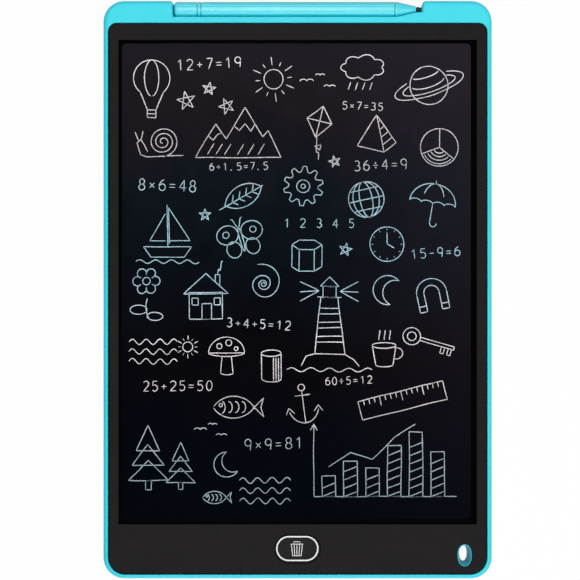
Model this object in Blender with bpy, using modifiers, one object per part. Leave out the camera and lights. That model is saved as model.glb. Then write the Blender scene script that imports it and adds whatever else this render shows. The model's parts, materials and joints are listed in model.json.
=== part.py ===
"""LCD writing tablet, in metres. It lies on its back with the screen up and the pen edge towards +Y."""

import math

import bmesh
import bpy
from mathutils import Matrix, Vector

# Fits
GAP = 0.0003
MOUTH_CLEARANCE = 0.0006
OVERRUN = 0.002
EMBED = 0.0003
WELD = 0.000001

# Facets
CORNER_STEPS = 8
TURN_STEPS = 32
SMALL_STEPS = 16
FILLET_STEPS = 3
FLAT_ANGLE = 0.1

# Case
CASE_WIDTH = 0.1917
CASE_LENGTH = 0.2850
CASE_CORNER = 0.0104
REAR_FILLET = 0.0024
LIP_FILLET = 0.0010
SIDE_BAND = 0.00255
FOOT_BAND = 0.0023
PEN_BAND = 0.0112
BACK_WALL = 0.0013
POCKET_HEAD_CORNER = 0.0044
POCKET_FOOT_CORNER = 0.0084
RIB_HEIGHT = 0.0019
RIB_WIDTH = 0.0012
RIB_SIDE_MARGIN = 0.0083
RIB_HEAD_MARGIN = 0.0073
RIB_COLUMNS = 4
RIB_ROWS = 5

# Screen stack, from the back
BOARD_THICKNESS = 0.0008
FOAM_THICKNESS = 0.0004
BASE_FILM_THICKNESS = 0.0002
WRITING_FILM_THICKNESS = 0.0002
BOARD_SIDE_MARGIN = 0.0028
BOARD_HEAD_MARGIN = 0.0033
FOAM_INSET = 0.0006
BASE_FILM_OVERLAP_SIDE = 0.00335
BASE_FILM_OVERLAP_END = 0.0028
BASE_FILM_CORNER = 0.0015
RIM_LEFT = 0.00155
RIM_RIGHT = 0.00275
RIM_FOOT = 0.0023
RIM_HEAD = 0.0015
WRITING_FILM_CORNER = 0.0022

# Front bezel
BEZEL_THICKNESS = 0.0010
BEZEL_RECESS = 0.0002
BORDER_SIDE = 0.00515
BORDER_HEAD = 0.0084
BORDER_FOOT = 0.0247
SKIRT_WALL = 0.0012
SKIRT_DEPTH = 0.0017
HOOK_LENGTH = 0.010
HOOK_HEIGHT = 0.0007
HOOK_REACH = 0.0008
SIDE_HOOK_SHARES = (0.15, 0.5, 0.85)
FOOT_HOOK_SHARES = (0.3, 0.7)
HEAD_HOOK_SHARES = (0.28, 0.5, 0.72)

# Erase button and its switch
BUTTON_RISE = 0.0125
BUTTON_LENGTH = 0.0221
BUTTON_WIDTH = 0.0136
BUTTON_PROUD = 0.0002
BUTTON_EDGE = 0.0003
BUTTON_FLANGE = 0.0015
BUTTON_FLANGE_THICKNESS = 0.0004
BUTTON_STEM_RADIUS = 0.0020
BUTTON_TRAVEL = 0.0004
TACT_SIDE = 0.0060
TACT_HEIGHT = 0.0010
TACT_FLOOR = 0.00015
PLUNGER_RADIUS = 0.0012
PLUNGER_PROUD = 0.0003
PLUNGER_SLACK = 0.0001

# Circuit board
BOSS_HEIGHT = 0.0010
BOSS_RADIUS = 0.0022
PCB_LENGTH = 0.070
PCB_WIDTH = 0.016
PCB_THICKNESS = 0.0008
PCB_CORNER = 0.0010
PCB_SHIFT_X = 0.0090
PCB_SHIFT_Y = -0.0008
SCREW_INSET = 0.0030
SCREW_SHANK_RADIUS = 0.0007
SCREW_HEAD_RADIUS = 0.0016
SCREW_HEAD_HEIGHT = 0.0010
SCREW_FLOOR = 0.0003
SCREW_RECESS = 0.0004
CROSS_ARM_SHARE = 0.62
CROSS_WIDTH_SHARE = 0.26
CROSS_TAPER_SHARE = 0.75
HEAD_SCREW_SHARE = 0.545

# Parts on the board, each placed by its shares along its stretch of the board and across it
PART_SPACING = 0.0010
CHIP_LENGTH = 0.0050
CHIP_WIDTH = 0.0040
CHIP_HEIGHT = 0.0012
CHIP_EDGE = 0.00015
CHIP_PLACE_SHARES = (0.55, 0.2)
INDUCTOR_RADIUS = 0.0021
INDUCTOR_NECK = 0.0014
INDUCTOR_HEIGHT = 0.0014
INDUCTOR_FLANGE = 0.0003
INDUCTOR_PLACE_SHARES = (0.45, 0.85)
CAPACITOR_LENGTH = 0.0020
CAPACITOR_WIDTH = 0.0012
CAPACITOR_HEIGHT = 0.0009
CAPACITOR_PLACE_SHARES = ((0.3, 0.55), (0.8, 0.55), (1.0, 0.9))
RESISTOR_LENGTH = 0.0016
RESISTOR_WIDTH = 0.0008
RESISTOR_HEIGHT = 0.0005
RESISTOR_PLACE_SHARES = ((0.1, 0.12), (0.7, 0.12))
SMALL_PART_EDGE = 0.0001

# Film tail and its connector
TAIL_SHARE = 0.655
TAIL_WIDTH = 0.0080
TAIL_THICKNESS = 0.0002
TAIL_TAB = 0.0021
TAIL_BEND = 0.0016
TAIL_PLUG = 0.0017
CONNECTOR_LENGTH = 0.0100
CONNECTOR_DEPTH = 0.0030
CONNECTOR_SETBACK = 0.0006
CONNECTOR_FLOOR = 0.0002
CONNECTOR_ROOF = 0.0004

# Erase lock
LOCK_TRAVEL = 0.0030
LOCK_SHARE = 0.78
LOCK_SHIFT_Y = -0.0010
KNOB_LENGTH = 0.0060
KNOB_WIDTH = 0.0050
KNOB_RECESS = 0.0003
KNOB_FLANGE_THICKNESS = 0.0005
KNOB_FLANGE_LAP = 0.0008
PRONG_THICKNESS = 0.0010
PRONG_DEPTH = 0.0020
PRONG_HEIGHT = 0.0012
LEVER_SIDE = 0.0016
LEVER_GRIP = 0.0005
SWITCH_LENGTH = 0.0090
SWITCH_WIDTH = 0.0040
SWITCH_HEIGHT = 0.0015

# Coin cell, its bay and its door
CELL_RADIUS = 0.0100
CELL_THICKNESS = 0.0025
CELL_CAP_RADIUS = 0.0087
CELL_CAP_STEP = 0.00035
CELL_EDGE = 0.0003
CELL_X = -0.0500
CUP_WALL = 0.0011
BAY_FLOOR = 0.0010
BAY_MARGIN = 0.0015
DOOR_LENGTH = 0.0316
DOOR_WIDTH = 0.0226
DOOR_THICKNESS = 0.00105
DOOR_RECESS = 0.00025
DOOR_CORNER = 0.0020
DOOR_LAP = 0.0016
DOOR_SCREW_INSET = 0.0045
DOOR_SCREW_HEAD_RADIUS = 0.0019
DOOR_SCREW_HEAD_HEIGHT = 0.0004
DOOR_SCREW_SHANK_RADIUS = 0.0008
DOOR_SCREW_LENGTH = 0.0030
DOOR_SCREW_SINK = 0.00005
DOOR_SCREW_RECESS = 0.0002
DOOR_BOSS_WALL = 0.0014
CONTACT_THICKNESS = 0.0003
CONTACT_WIDTH = 0.0030
CONTACT_FOOT = 0.0020
CONTACT_REACH = 0.0060
NEGATIVE_SHIFT_Y = 0.0037
POSITIVE_SHIFT_Y = -0.0013

# Strap hole
STRAP_INSET_X = 0.0109
STRAP_RISE = 0.0092
STRAP_TUBE_HALF_X = 0.0037
STRAP_TUBE_HALF_Y = 0.00565
STRAP_MOUTH_HALF_X = 0.0032
STRAP_MOUTH_HALF_Y = 0.00515
STRAP_BACK_HALF_X = 0.0024
STRAP_BACK_HALF_Y = 0.0041
STRAP_TUBE_PROUD = 0.0001
OVAL_POWER = 2.5

# Pen and its cradle
PEN_RADIUS = 0.003675
PEN_EDGE_INSET = 0.000425
PEN_SHIFT_X = 0.00025
LIP_UNDER_PEN = 0.0008
SEAT_RISE = 0.0002
CAP_SHOULDER_CORNER = 0.0017
TIP_SHOULDER_CORNER = 0.0027
SHOULDER_BREAK = 0.0001
SHOULDER_WALL = 0.0015
SHOULDER_OUTER_WALL = 0.0020
CAP_LENGTH = 0.01105
CAP_ROUND = 0.0009
RING_LENGTH = 0.0016
BARREL_LENGTH = 0.0952
BARREL_BORE = 0.0024
SPIGOT_LENGTH = 0.0050
COLLAR_LENGTH = 0.00125
CONE_LENGTH = 0.0091
CONE_END_RADIUS = 0.00155
TIP_LENGTH = 0.0025
TIP_RADIUS = 0.0013
TIP_END_RADIUS = 0.00105
TIP_STEM_RADIUS = 0.0007
TIP_STEM_LENGTH = 0.0040

# Colours, roughness and metallic values
CYAN = (0.087, 0.753, 0.872, 1.0)
CHARCOAL = (0.0185, 0.0168, 0.0176, 1.0)
FILM_DARK = (0.018, 0.015, 0.020, 1.0)
BLACK = (0.004, 0.004, 0.005, 1.0)
FOAM_GREY = (0.32, 0.33, 0.34, 1.0)
BOARD_GREY = (0.55, 0.55, 0.52, 1.0)
AMBER = (0.62, 0.30, 0.06, 1.0)
BOARD_GREEN = (0.02, 0.17, 0.07, 1.0)
CREAM = (0.80, 0.76, 0.66, 1.0)
CERAMIC_TAN = (0.52, 0.38, 0.22, 1.0)
STEEL = (0.62, 0.62, 0.63, 1.0)
SATIN = 0.45
MATTE = 0.7
GLOSSY = 0.25

# Places that follow from the sizes above
HALF_WIDTH = CASE_WIDTH / 2
HALF_LENGTH = CASE_LENGTH / 2
POCKET_LOW = (SIDE_BAND - HALF_WIDTH, FOOT_BAND - HALF_LENGTH)
POCKET_HIGH = (HALF_WIDTH - SIDE_BAND, HALF_LENGTH - PEN_BAND)
POCKET_CORNERS = (POCKET_FOOT_CORNER, POCKET_HEAD_CORNER, POCKET_HEAD_CORNER, POCKET_FOOT_CORNER)
WINDOW_LOW = (POCKET_LOW[0] + BORDER_SIDE, POCKET_LOW[1] + BORDER_FOOT)
WINDOW_HIGH = (POCKET_HIGH[0] - BORDER_SIDE, POCKET_HIGH[1] - BORDER_HEAD)

RIB_TOP = BACK_WALL + RIB_HEIGHT
BOARD_BOTTOM = RIB_TOP + GAP
FOAM_BOTTOM = BOARD_BOTTOM + BOARD_THICKNESS + GAP
BASE_FILM_BOTTOM = FOAM_BOTTOM + FOAM_THICKNESS + GAP
WRITING_FILM_BOTTOM = BASE_FILM_BOTTOM + BASE_FILM_THICKNESS + GAP
BEZEL_BOTTOM = WRITING_FILM_BOTTOM + WRITING_FILM_THICKNESS + GAP
BEZEL_TOP = BEZEL_BOTTOM + BEZEL_THICKNESS
LIP_TOP = BEZEL_TOP + BEZEL_RECESS
SKIRT_BOTTOM = BEZEL_BOTTOM - SKIRT_DEPTH

PCB_BOTTOM = BACK_WALL + BOSS_HEIGHT + GAP
PCB_TOP = PCB_BOTTOM + PCB_THICKNESS
PART_BOTTOM = PCB_TOP + GAP
BUTTON_Y = POCKET_LOW[1] + BUTTON_RISE
PCB_LOW = (PCB_SHIFT_X - PCB_LENGTH / 2, BUTTON_Y + PCB_SHIFT_Y - PCB_WIDTH / 2)
PCB_HIGH = (PCB_LOW[0] + PCB_LENGTH, PCB_LOW[1] + PCB_WIDTH)
SCREW_PLACES = (
    (PCB_LOW[0] + SCREW_INSET, PCB_LOW[1] + SCREW_INSET),
    (PCB_HIGH[0] - SCREW_INSET, PCB_LOW[1] + SCREW_INSET),
    (PCB_LOW[0] + PCB_LENGTH * HEAD_SCREW_SHARE, PCB_HIGH[1] - SCREW_INSET),
)
LOCK_X = PCB_LOW[0] + PCB_LENGTH * LOCK_SHARE
LOCK_Y = BUTTON_Y + LOCK_SHIFT_Y
KNOB_FLANGE_BOTTOM = BACK_WALL + GAP
KNOB_FLANGE_TOP = KNOB_FLANGE_BOTTOM + KNOB_FLANGE_THICKNESS
TAIL_X = PCB_LOW[0] + PCB_LENGTH * TAIL_SHARE

DOOR_TOP = DOOR_RECESS + DOOR_THICKNESS
CELL_BOTTOM = DOOR_TOP + GAP
CELL_TOP = CELL_BOTTOM + CELL_THICKNESS
CELL_Y = BUTTON_Y
BAY_TOP = CELL_BOTTOM + BAY_FLOOR
BORE_RADIUS = CELL_RADIUS + GAP
DOOR_HIGH_X = CELL_X + BORE_RADIUS + DOOR_LAP
DOOR_LOW = (DOOR_HIGH_X - DOOR_LENGTH, CELL_Y - DOOR_WIDTH / 2)
DOOR_HIGH = (DOOR_HIGH_X, CELL_Y + DOOR_WIDTH / 2)
DOOR_SCREW_PLACE = (DOOR_LOW[0] + DOOR_SCREW_INSET, CELL_Y)

STRAP_PLACE = (POCKET_HIGH[0] - STRAP_INSET_X, POCKET_LOW[1] + STRAP_RISE)

PEN_Y = HALF_LENGTH - PEN_EDGE_INSET - PEN_RADIUS
PEN_Z = LIP_UNDER_PEN + GAP + PEN_RADIUS
PEN_LENGTHS = (CAP_LENGTH, RING_LENGTH, BARREL_LENGTH, COLLAR_LENGTH + CONE_LENGTH, TIP_LENGTH)
PEN_LENGTH = sum(PEN_LENGTHS) + GAP * (len(PEN_LENGTHS) - 1)
CAP_START = PEN_SHIFT_X - PEN_LENGTH / 2
RING_START = CAP_START + CAP_LENGTH + GAP
BARREL_START = RING_START + RING_LENGTH + GAP
NOSE_START = BARREL_START + BARREL_LENGTH + GAP
CONE_START = NOSE_START + COLLAR_LENGTH
NOSE_END = CONE_START + CONE_LENGTH
TIP_START = NOSE_END + GAP
TIP_END = TIP_START + TIP_LENGTH
SPIGOT_RADIUS = BARREL_BORE - GAP

# Frames that stand an outline up: its drawing plane is XZ or YZ
STAND_ON_XZ = Matrix(((1, 0, 0, 0), (0, 0, -1, 0), (0, 1, 0, 0), (0, 0, 0, 1)))
STAND_ON_YZ = Matrix(((0, 0, 1, 0), (1, 0, 0, 0), (0, 1, 0, 0), (0, 0, 0, 1)))
TURN_ALONG_X = Matrix.Rotation(math.pi / 2, 4, "Y")


def clear_scene():
    for old in list(bpy.data.objects):
        bpy.data.objects.remove(old, do_unlink=True)


def new_collection(name):
    collection = bpy.data.collections.new(name)
    bpy.context.scene.collection.children.link(collection)
    return collection


clear_scene()
PARTS = new_collection("lcd_writing_tablet")
CUTTERS = new_collection("cutters")


def add_object(name, mesh):
    piece = bpy.data.objects.new(name, mesh)
    PARTS.objects.link(piece)
    return piece


def finish(piece, colour, roughness, metallic=0.0):
    """Gives a piece its own material."""
    material = bpy.data.materials.new(piece.name + "_material")
    material.use_nodes = True
    shader = material.node_tree.nodes["Principled BSDF"]
    shader.inputs["Base Color"].default_value = colour
    shader.inputs["Roughness"].default_value = roughness
    shader.inputs["Metallic"].default_value = metallic
    piece.data.materials.clear()
    piece.data.materials.append(material)
    return piece


def rounded_outline(low, high, corners):
    """A rectangle with corner arcs. The corners run lower right, upper right, upper left, lower left."""
    centres = (
        (high[0] - corners[0], low[1] + corners[0]),
        (high[0] - corners[1], high[1] - corners[1]),
        (low[0] + corners[2], high[1] - corners[2]),
        (low[0] + corners[3], low[1] + corners[3]),
    )
    points = []
    for quarter, (centre, radius) in enumerate(zip(centres, corners)):
        for step in range(CORNER_STEPS + 1):
            angle = (quarter - 1 + step / CORNER_STEPS) * math.pi / 2
            points.append((centre[0] + radius * math.cos(angle), centre[1] + radius * math.sin(angle)))
    return points


def even_outline(low, high, corner):
    return rounded_outline(low, high, (corner, corner, corner, corner))


def rectangle(low, high):
    return [(low[0], low[1]), (high[0], low[1]), (high[0], high[1]), (low[0], high[1])]


def stadium(centre, length, width):
    low = (centre[0] - length / 2, centre[1] - width / 2)
    high = (centre[0] + length / 2, centre[1] + width / 2)
    return even_outline(low, high, width / 2 - WELD)


def circle(centre, radius):
    turn = 2 * math.pi / SMALL_STEPS
    return [
        (centre[0] + radius * math.cos(step * turn), centre[1] + radius * math.sin(step * turn))
        for step in range(SMALL_STEPS)
    ]


def softened(value):
    """Turns a cosine or a sine into the matching one of a rounder-cornered oval."""
    return math.copysign(abs(value) ** (2 / OVAL_POWER), value)


def oval(centre, half_x, half_y):
    turn = 2 * math.pi / TURN_STEPS
    return [
        (
            centre[0] + half_x * softened(math.cos(step * turn)),
            centre[1] + half_y * softened(math.sin(step * turn)),
        )
        for step in range(TURN_STEPS)
    ]


def cross(centre, arm, width):
    """A plus sign with tapered arms, for a screw's recess."""
    half = width / 2
    end = half * CROSS_TAPER_SHARE
    corner = ((arm, -end), (arm, end), (half, half))
    points = []
    for quarter in range(4):
        cosine = round(math.cos(quarter * math.pi / 2))
        sine = round(math.sin(quarter * math.pi / 2))
        for x, y in corner:
            points.append((centre[0] + x * cosine - y * sine, centre[1] + x * sine + y * cosine))
    return points


def grown(low, high, margin):
    """A span made larger by a margin on every side."""
    return tuple(value - margin for value in low), tuple(value + margin for value in high)


def prism(name, outlines, low, high, frame=Matrix()):
    """Flat outlines, holes among them, extruded from low to high along their frame's Z."""
    curve = bpy.data.curves.new(name, "CURVE")
    curve.dimensions = "2D"
    curve.fill_mode = "BOTH"
    curve.extrude = (high - low) / 2
    for outline in outlines:
        spline = curve.splines.new("POLY")
        spline.points.add(len(outline) - 1)
        for point, (x, y) in zip(spline.points, outline):
            point.co = (x, y, 0, 1)
        spline.use_cyclic_u = True
    drawn = bpy.data.objects.new(name + "_curve", curve)
    drawn.matrix_world = frame @ Matrix.Translation((0, 0, (low + high) / 2))
    PARTS.objects.link(drawn)
    bpy.context.view_layer.update()
    return solid_from_curve(name, drawn)


def solid_from_curve(name, drawn):
    """Makes a closed mesh of a filled curve, in the curve's place, and removes the curve."""
    evaluated = drawn.evaluated_get(bpy.context.evaluated_depsgraph_get())
    mesh = bpy.data.meshes.new_from_object(evaluated)
    body = bmesh.new()
    body.from_mesh(mesh)
    bmesh.ops.remove_doubles(body, verts=body.verts, dist=WELD)
    bmesh.ops.recalc_face_normals(body, faces=body.faces)
    body.to_mesh(mesh)
    body.free()
    piece = add_object(name, mesh)
    piece.matrix_world = drawn.matrix_world.copy()
    bpy.data.objects.remove(drawn, do_unlink=True)
    return piece


def from_bmesh(name, body):
    mesh = bpy.data.meshes.new(name)
    body.to_mesh(mesh)
    body.free()
    return add_object(name, mesh)


def boxes(name, spans):
    """One object of separate boxes, each given by its lowest and highest corner."""
    body = bmesh.new()
    for low, high in spans:
        size = Vector(high) - Vector(low)
        middle = (Vector(high) + Vector(low)) / 2
        place = Matrix.Translation(middle) @ Matrix.Diagonal((*size, 1))
        bmesh.ops.create_cube(body, size=1, matrix=place)
    return from_bmesh(name, body)


def rods(name, places, radius, low, high, steps=SMALL_STEPS):
    """One object of separate upright cylinders."""
    body = bmesh.new()
    for x, y in places:
        place = Matrix.Translation((x, y, (low + high) / 2))
        bmesh.ops.create_cone(
            body,
            cap_ends=True,
            segments=steps,
            radius1=radius,
            radius2=radius,
            depth=high - low,
            matrix=place,
        )
    return from_bmesh(name, body)


def tapered_oval(name, centre, low_halves, high_halves, low, high):
    """An upright oval plug whose two ends differ in size."""
    body = bmesh.new()
    bmesh.ops.create_cone(
        body, cap_ends=True, segments=TURN_STEPS, radius1=1, radius2=1, depth=high - low
    )
    for vertex in body.verts:
        halves = high_halves if vertex.co.z > 0 else low_halves
        vertex.co.x = centre[0] + halves[0] * softened(vertex.co.x)
        vertex.co.y = centre[1] + halves[1] * softened(vertex.co.y)
        vertex.co.z += (low + high) / 2
    bmesh.ops.triangulate(body, faces=body.faces)
    return from_bmesh(name, body)


def turned(name, profile, frame, closed=False, steps=TURN_STEPS):
    """A shape turned round its frame's Z from (radius, height) points that run down its outer side."""
    mesh = bpy.data.meshes.new(name)
    edges = [(index, index + 1) for index in range(len(profile) - 1)]
    if closed:
        edges.append((len(profile) - 1, 0))
    mesh.from_pydata([(radius, 0, height) for radius, height in profile], edges, [])
    piece = add_object(name, mesh)
    piece.matrix_world = frame
    turn = piece.modifiers.new("turn", "SCREW")
    turn.steps = steps
    turn.render_steps = steps
    turn.use_merge_vertices = True
    turn.merge_threshold = WELD
    turn.use_smooth_shade = True
    return piece


def operate(target, tool, operation):
    """Cuts or joins target with tool, which stays as a wire guide."""
    PARTS.objects.unlink(tool)
    CUTTERS.objects.link(tool)
    tool.hide_render = True
    tool.display_type = "WIRE"
    step = target.modifiers.new(tool.name, "BOOLEAN")
    step.operation = operation
    step.solver = "EXACT"
    step.object = tool


def cut(target, tool):
    operate(target, tool, "DIFFERENCE")


def join(target, tool):
    operate(target, tool, "UNION")


def round_rims(piece, low_radius, high_radius):
    """Rounds an upright prism's lower and upper rim, each with its own radius."""
    widest = max(low_radius, high_radius)
    body = bmesh.new()
    body.from_mesh(piece.data)
    flat = math.radians(FLAT_ANGLE)
    bmesh.ops.dissolve_limit(body, angle_limit=flat, verts=body.verts, edges=body.edges)
    weights = body.edges.layers.float.new("bevel_weight_edge")
    for edge in body.edges:
        if edge.calc_face_angle(0) > math.pi / 4:
            radius = high_radius if edge.verts[0].co.z > 0 else low_radius
            edge[weights] = radius / widest
    body.to_mesh(piece.data)
    body.free()
    fillet = piece.modifiers.new("rims", "BEVEL")
    fillet.limit_method = "WEIGHT"
    fillet.width = widest
    fillet.segments = FILLET_STEPS


def round_edges(piece, radius, steps=1):
    fillet = piece.modifiers.new("edges", "BEVEL")
    fillet.limit_method = "ANGLE"
    fillet.angle_limit = math.pi / 4
    fillet.width = radius
    fillet.segments = steps


def carry(name, place, children):
    """Parents pieces that move together to an empty on their joint's axis."""
    carrier = bpy.data.objects.new(name, None)
    carrier.matrix_world = Matrix.Translation(place)
    PARTS.objects.link(carrier)
    bpy.context.view_layer.update()
    for child in children:
        child.parent = carrier
        child.matrix_parent_inverse = carrier.matrix_world.inverted()


def hook_spans(reach, clearance):
    """The snap hooks round the bezel, or with a clearance the slots that they click into."""
    low, high = grown(POCKET_LOW, POCKET_HIGH, -GAP)
    bottom = SKIRT_BOTTOM - clearance
    top = SKIRT_BOTTOM + HOOK_HEIGHT + clearance
    half = HOOK_LENGTH / 2 + clearance
    spans = []
    for share in SIDE_HOOK_SHARES:
        y = low[1] + (high[1] - low[1]) * share
        spans.append(((low[0] - reach, y - half, bottom), (low[0] + EMBED, y + half, top)))
        spans.append(((high[0] - EMBED, y - half, bottom), (high[0] + reach, y + half, top)))
    for share in FOOT_HOOK_SHARES:
        x = low[0] + (high[0] - low[0]) * share
        spans.append(((x - half, low[1] - reach, bottom), (x + half, low[1] + EMBED, top)))
    for share in HEAD_HOOK_SHARES:
        x = low[0] + (high[0] - low[0]) * share
        spans.append(((x - half, high[1] - EMBED, bottom), (x + half, high[1] + reach, top)))
    return spans


def shape_ribs(case):
    """Raises the long ribs that carry the screen, and the lower cross ribs that tie them."""
    low = (POCKET_LOW[0] + RIB_SIDE_MARGIN, WINDOW_LOW[1] + RIB_HEAD_MARGIN)
    high = (POCKET_HIGH[0] - RIB_SIDE_MARGIN, POCKET_HIGH[1] - RIB_HEAD_MARGIN)
    root = BACK_WALL - EMBED
    half = RIB_WIDTH / 2
    pitch = (high[0] - low[0]) / RIB_COLUMNS
    spans = []
    for column in range(RIB_COLUMNS + 1):
        x = low[0] + column * pitch
        spans.append(((x - half, low[1], root), (x + half, high[1], RIB_TOP)))
    join(case, boxes("long_ribs", spans))
    pitch = (high[1] - low[1]) / RIB_ROWS
    spans = []
    for row in range(RIB_ROWS):
        y = low[1] + pitch / 2 + row * pitch
        low_end = (low[0] - RIB_WIDTH, y - half, root)
        spans.append((low_end, (high[0] + RIB_WIDTH, y + half, RIB_TOP - EMBED)))
    join(case, boxes("cross_ribs", spans))


def pen_silhouette(clearance):
    """(x, radius) points along the pen, from its cap to its tip, grown by a clearance."""
    return (
        (CAP_START - clearance, PEN_RADIUS + clearance),
        (CONE_START, PEN_RADIUS + clearance),
        (NOSE_END, CONE_END_RADIUS + clearance),
        (TIP_END + clearance, TIP_RADIUS + clearance),
    )


def pen_frame():
    return Matrix.Translation((0, PEN_Y, PEN_Z)) @ TURN_ALONG_X


def pen_seat():
    """The round seat, which is the pen's own turned shape grown by the gap."""
    side = [(radius, x) for x, radius in reversed(pen_silhouette(GAP))]
    return turned("pen_seat", [(0, side[0][1]), *side, (0, side[-1][1])], pen_frame())


def pen_mouth():
    """Opens the seat to the front, with straight walls that follow the pen's outline."""
    side = pen_silhouette(MOUTH_CLEARANCE)
    inner = [(x, PEN_Y - radius) for x, radius in side]
    outer = [(side[-1][0], PEN_Y + OVERRUN), (side[0][0], PEN_Y + OVERRUN)]
    return prism("pen_mouth", [inner + outer], PEN_Z + SEAT_RISE, LIP_TOP + OVERRUN)


def pen_open_side():
    """Clears everything outboard of the lip under the pen, with rounded shoulders at both ends."""
    side = pen_silhouette(MOUTH_CLEARANCE)
    left = side[0][0] - CAP_SHOULDER_CORNER
    right = side[-1][0] + TIP_SHOULDER_CORNER
    edge = HALF_LENGTH + SHOULDER_BREAK
    points = [(side[0][0], PEN_Y + EMBED), (side[-1][0], PEN_Y + EMBED)]
    for step in range(CORNER_STEPS + 1):
        angle = math.pi - step / CORNER_STEPS * math.pi / 2
        y = edge - TIP_SHOULDER_CORNER + TIP_SHOULDER_CORNER * math.sin(angle)
        points.append((right + TIP_SHOULDER_CORNER * math.cos(angle), y))
    points.append((right, HALF_LENGTH + OVERRUN))
    points.append((left, HALF_LENGTH + OVERRUN))
    for step in range(CORNER_STEPS + 1):
        angle = math.pi / 2 - step / CORNER_STEPS * math.pi / 2
        y = edge - CAP_SHOULDER_CORNER + CAP_SHOULDER_CORNER * math.sin(angle)
        points.append((left + CAP_SHOULDER_CORNER * math.cos(angle), y))
    return prism("pen_open_side", [points], -OVERRUN, LIP_TOP + OVERRUN)


def shoulder_hollows():
    """Hollows the two shoulders beside the pen from the main pocket, as a moulding has them."""
    side = pen_silhouette(MOUTH_CLEARANCE)
    far = HALF_WIDTH - CASE_CORNER - SHOULDER_WALL
    low_y = POCKET_HIGH[1] - SIDE_BAND
    high_y = HALF_LENGTH - SHOULDER_OUTER_WALL
    floor = BACK_WALL + EMBED
    roof = LIP_TOP - BACK_WALL
    left = ((-far, low_y, floor), (side[0][0] - SHOULDER_WALL, high_y, roof))
    right = ((side[-1][0] + SHOULDER_WALL, low_y, floor), (far, high_y, roof))
    return boxes("shoulder_hollows", [left, right])


def shape_cell_bay(case):
    """Raises the floor and the cup that hold the coin cell, and sinks the door's recess."""
    recess_low, recess_high = grown(DOOR_LOW, DOOR_HIGH, GAP)
    pad_low, pad_high = grown(recess_low, recess_high, BAY_MARGIN)
    pad = rectangle(pad_low, pad_high)
    join(case, prism("bay_floor", [pad], BACK_WALL - EMBED, BAY_TOP))
    cup = rods("cell_cup", [(CELL_X, CELL_Y)], BORE_RADIUS + CUP_WALL, BACK_WALL, CELL_TOP, TURN_STEPS)
    join(case, cup)
    boss_radius = DOOR_SCREW_SHANK_RADIUS + GAP + DOOR_BOSS_WALL
    boss_top = door_screw_tip() + GAP + EMBED
    join(case, rods("door_boss", [DOOR_SCREW_PLACE], boss_radius, BACK_WALL, boss_top))
    recess = even_outline(recess_low, recess_high, DOOR_CORNER + GAP)
    cut(case, prism("door_recess", [recess], -OVERRUN, CELL_BOTTOM))
    bore = rods("cell_bore", [(CELL_X, CELL_Y)], BORE_RADIUS, -OVERRUN, CELL_TOP + OVERRUN, TURN_STEPS)
    cut(case, bore)
    shank = DOOR_SCREW_SHANK_RADIUS + GAP
    cut(case, rods("door_screw_hole", [DOOR_SCREW_PLACE], shank, -OVERRUN, door_screw_tip() + GAP))
    half = CONTACT_WIDTH / 2 + GAP
    y = CELL_Y + POSITIVE_SHIFT_Y
    low = (CELL_X + CELL_CAP_RADIUS, y - half, BAY_TOP - EMBED)
    high = (CELL_X + BORE_RADIUS + CUP_WALL + OVERRUN, y + half, CELL_TOP + OVERRUN)
    cut(case, boxes("contact_notch", [(low, high)]))


def shape_board_mounts(case):
    """Adds the circuit board's bosses with their screw holes."""
    join(case, rods("board_bosses", SCREW_PLACES, BOSS_RADIUS, BACK_WALL - EMBED, BACK_WALL + BOSS_HEIGHT))
    hole = SCREW_SHANK_RADIUS + GAP
    cut(case, rods("board_screw_holes", SCREW_PLACES, hole, SCREW_FLOOR, PCB_BOTTOM + OVERRUN))


def shape_strap_tube(case):
    tube = oval(STRAP_PLACE, STRAP_TUBE_HALF_X, STRAP_TUBE_HALF_Y)
    join(case, prism("strap_tube", [tube], BACK_WALL - EMBED, BEZEL_TOP + STRAP_TUBE_PROUD))
    back = (STRAP_BACK_HALF_X, STRAP_BACK_HALF_Y)
    mouth = (STRAP_MOUTH_HALF_X, STRAP_MOUTH_HALF_Y)
    cut(case, tapered_oval("strap_bore", STRAP_PLACE, back, mouth, -EMBED, LIP_TOP + EMBED))


def shape_lock_slot(case):
    half_x = KNOB_LENGTH / 2 + GAP
    half_y = KNOB_WIDTH / 2 + GAP
    low = (LOCK_X - half_x, LOCK_Y - half_y, -OVERRUN)
    high = (LOCK_X + half_x + LOCK_TRAVEL, LOCK_Y + half_y, BACK_WALL + EMBED)
    cut(case, boxes("lock_slot", [(low, high)]))


def build_rear_case():
    outline = even_outline((-HALF_WIDTH, -HALF_LENGTH), (HALF_WIDTH, HALF_LENGTH), CASE_CORNER)
    case = prism("rear_case", [outline], 0, LIP_TOP)
    round_rims(case, REAR_FILLET, LIP_FILLET)
    pocket = rounded_outline(POCKET_LOW, POCKET_HIGH, POCKET_CORNERS)
    cut(case, prism("pocket", [pocket], BACK_WALL, LIP_TOP + OVERRUN))
    shape_ribs(case)
    shape_cell_bay(case)
    shape_board_mounts(case)
    shape_strap_tube(case)
    shape_lock_slot(case)
    cut(case, boxes("hook_slots", hook_spans(HOOK_REACH + 2 * GAP, GAP)))
    cut(case, shoulder_hollows())
    cut(case, pen_seat())
    cut(case, pen_mouth())
    cut(case, pen_open_side())
    finish(case, CYAN, SATIN)


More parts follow.
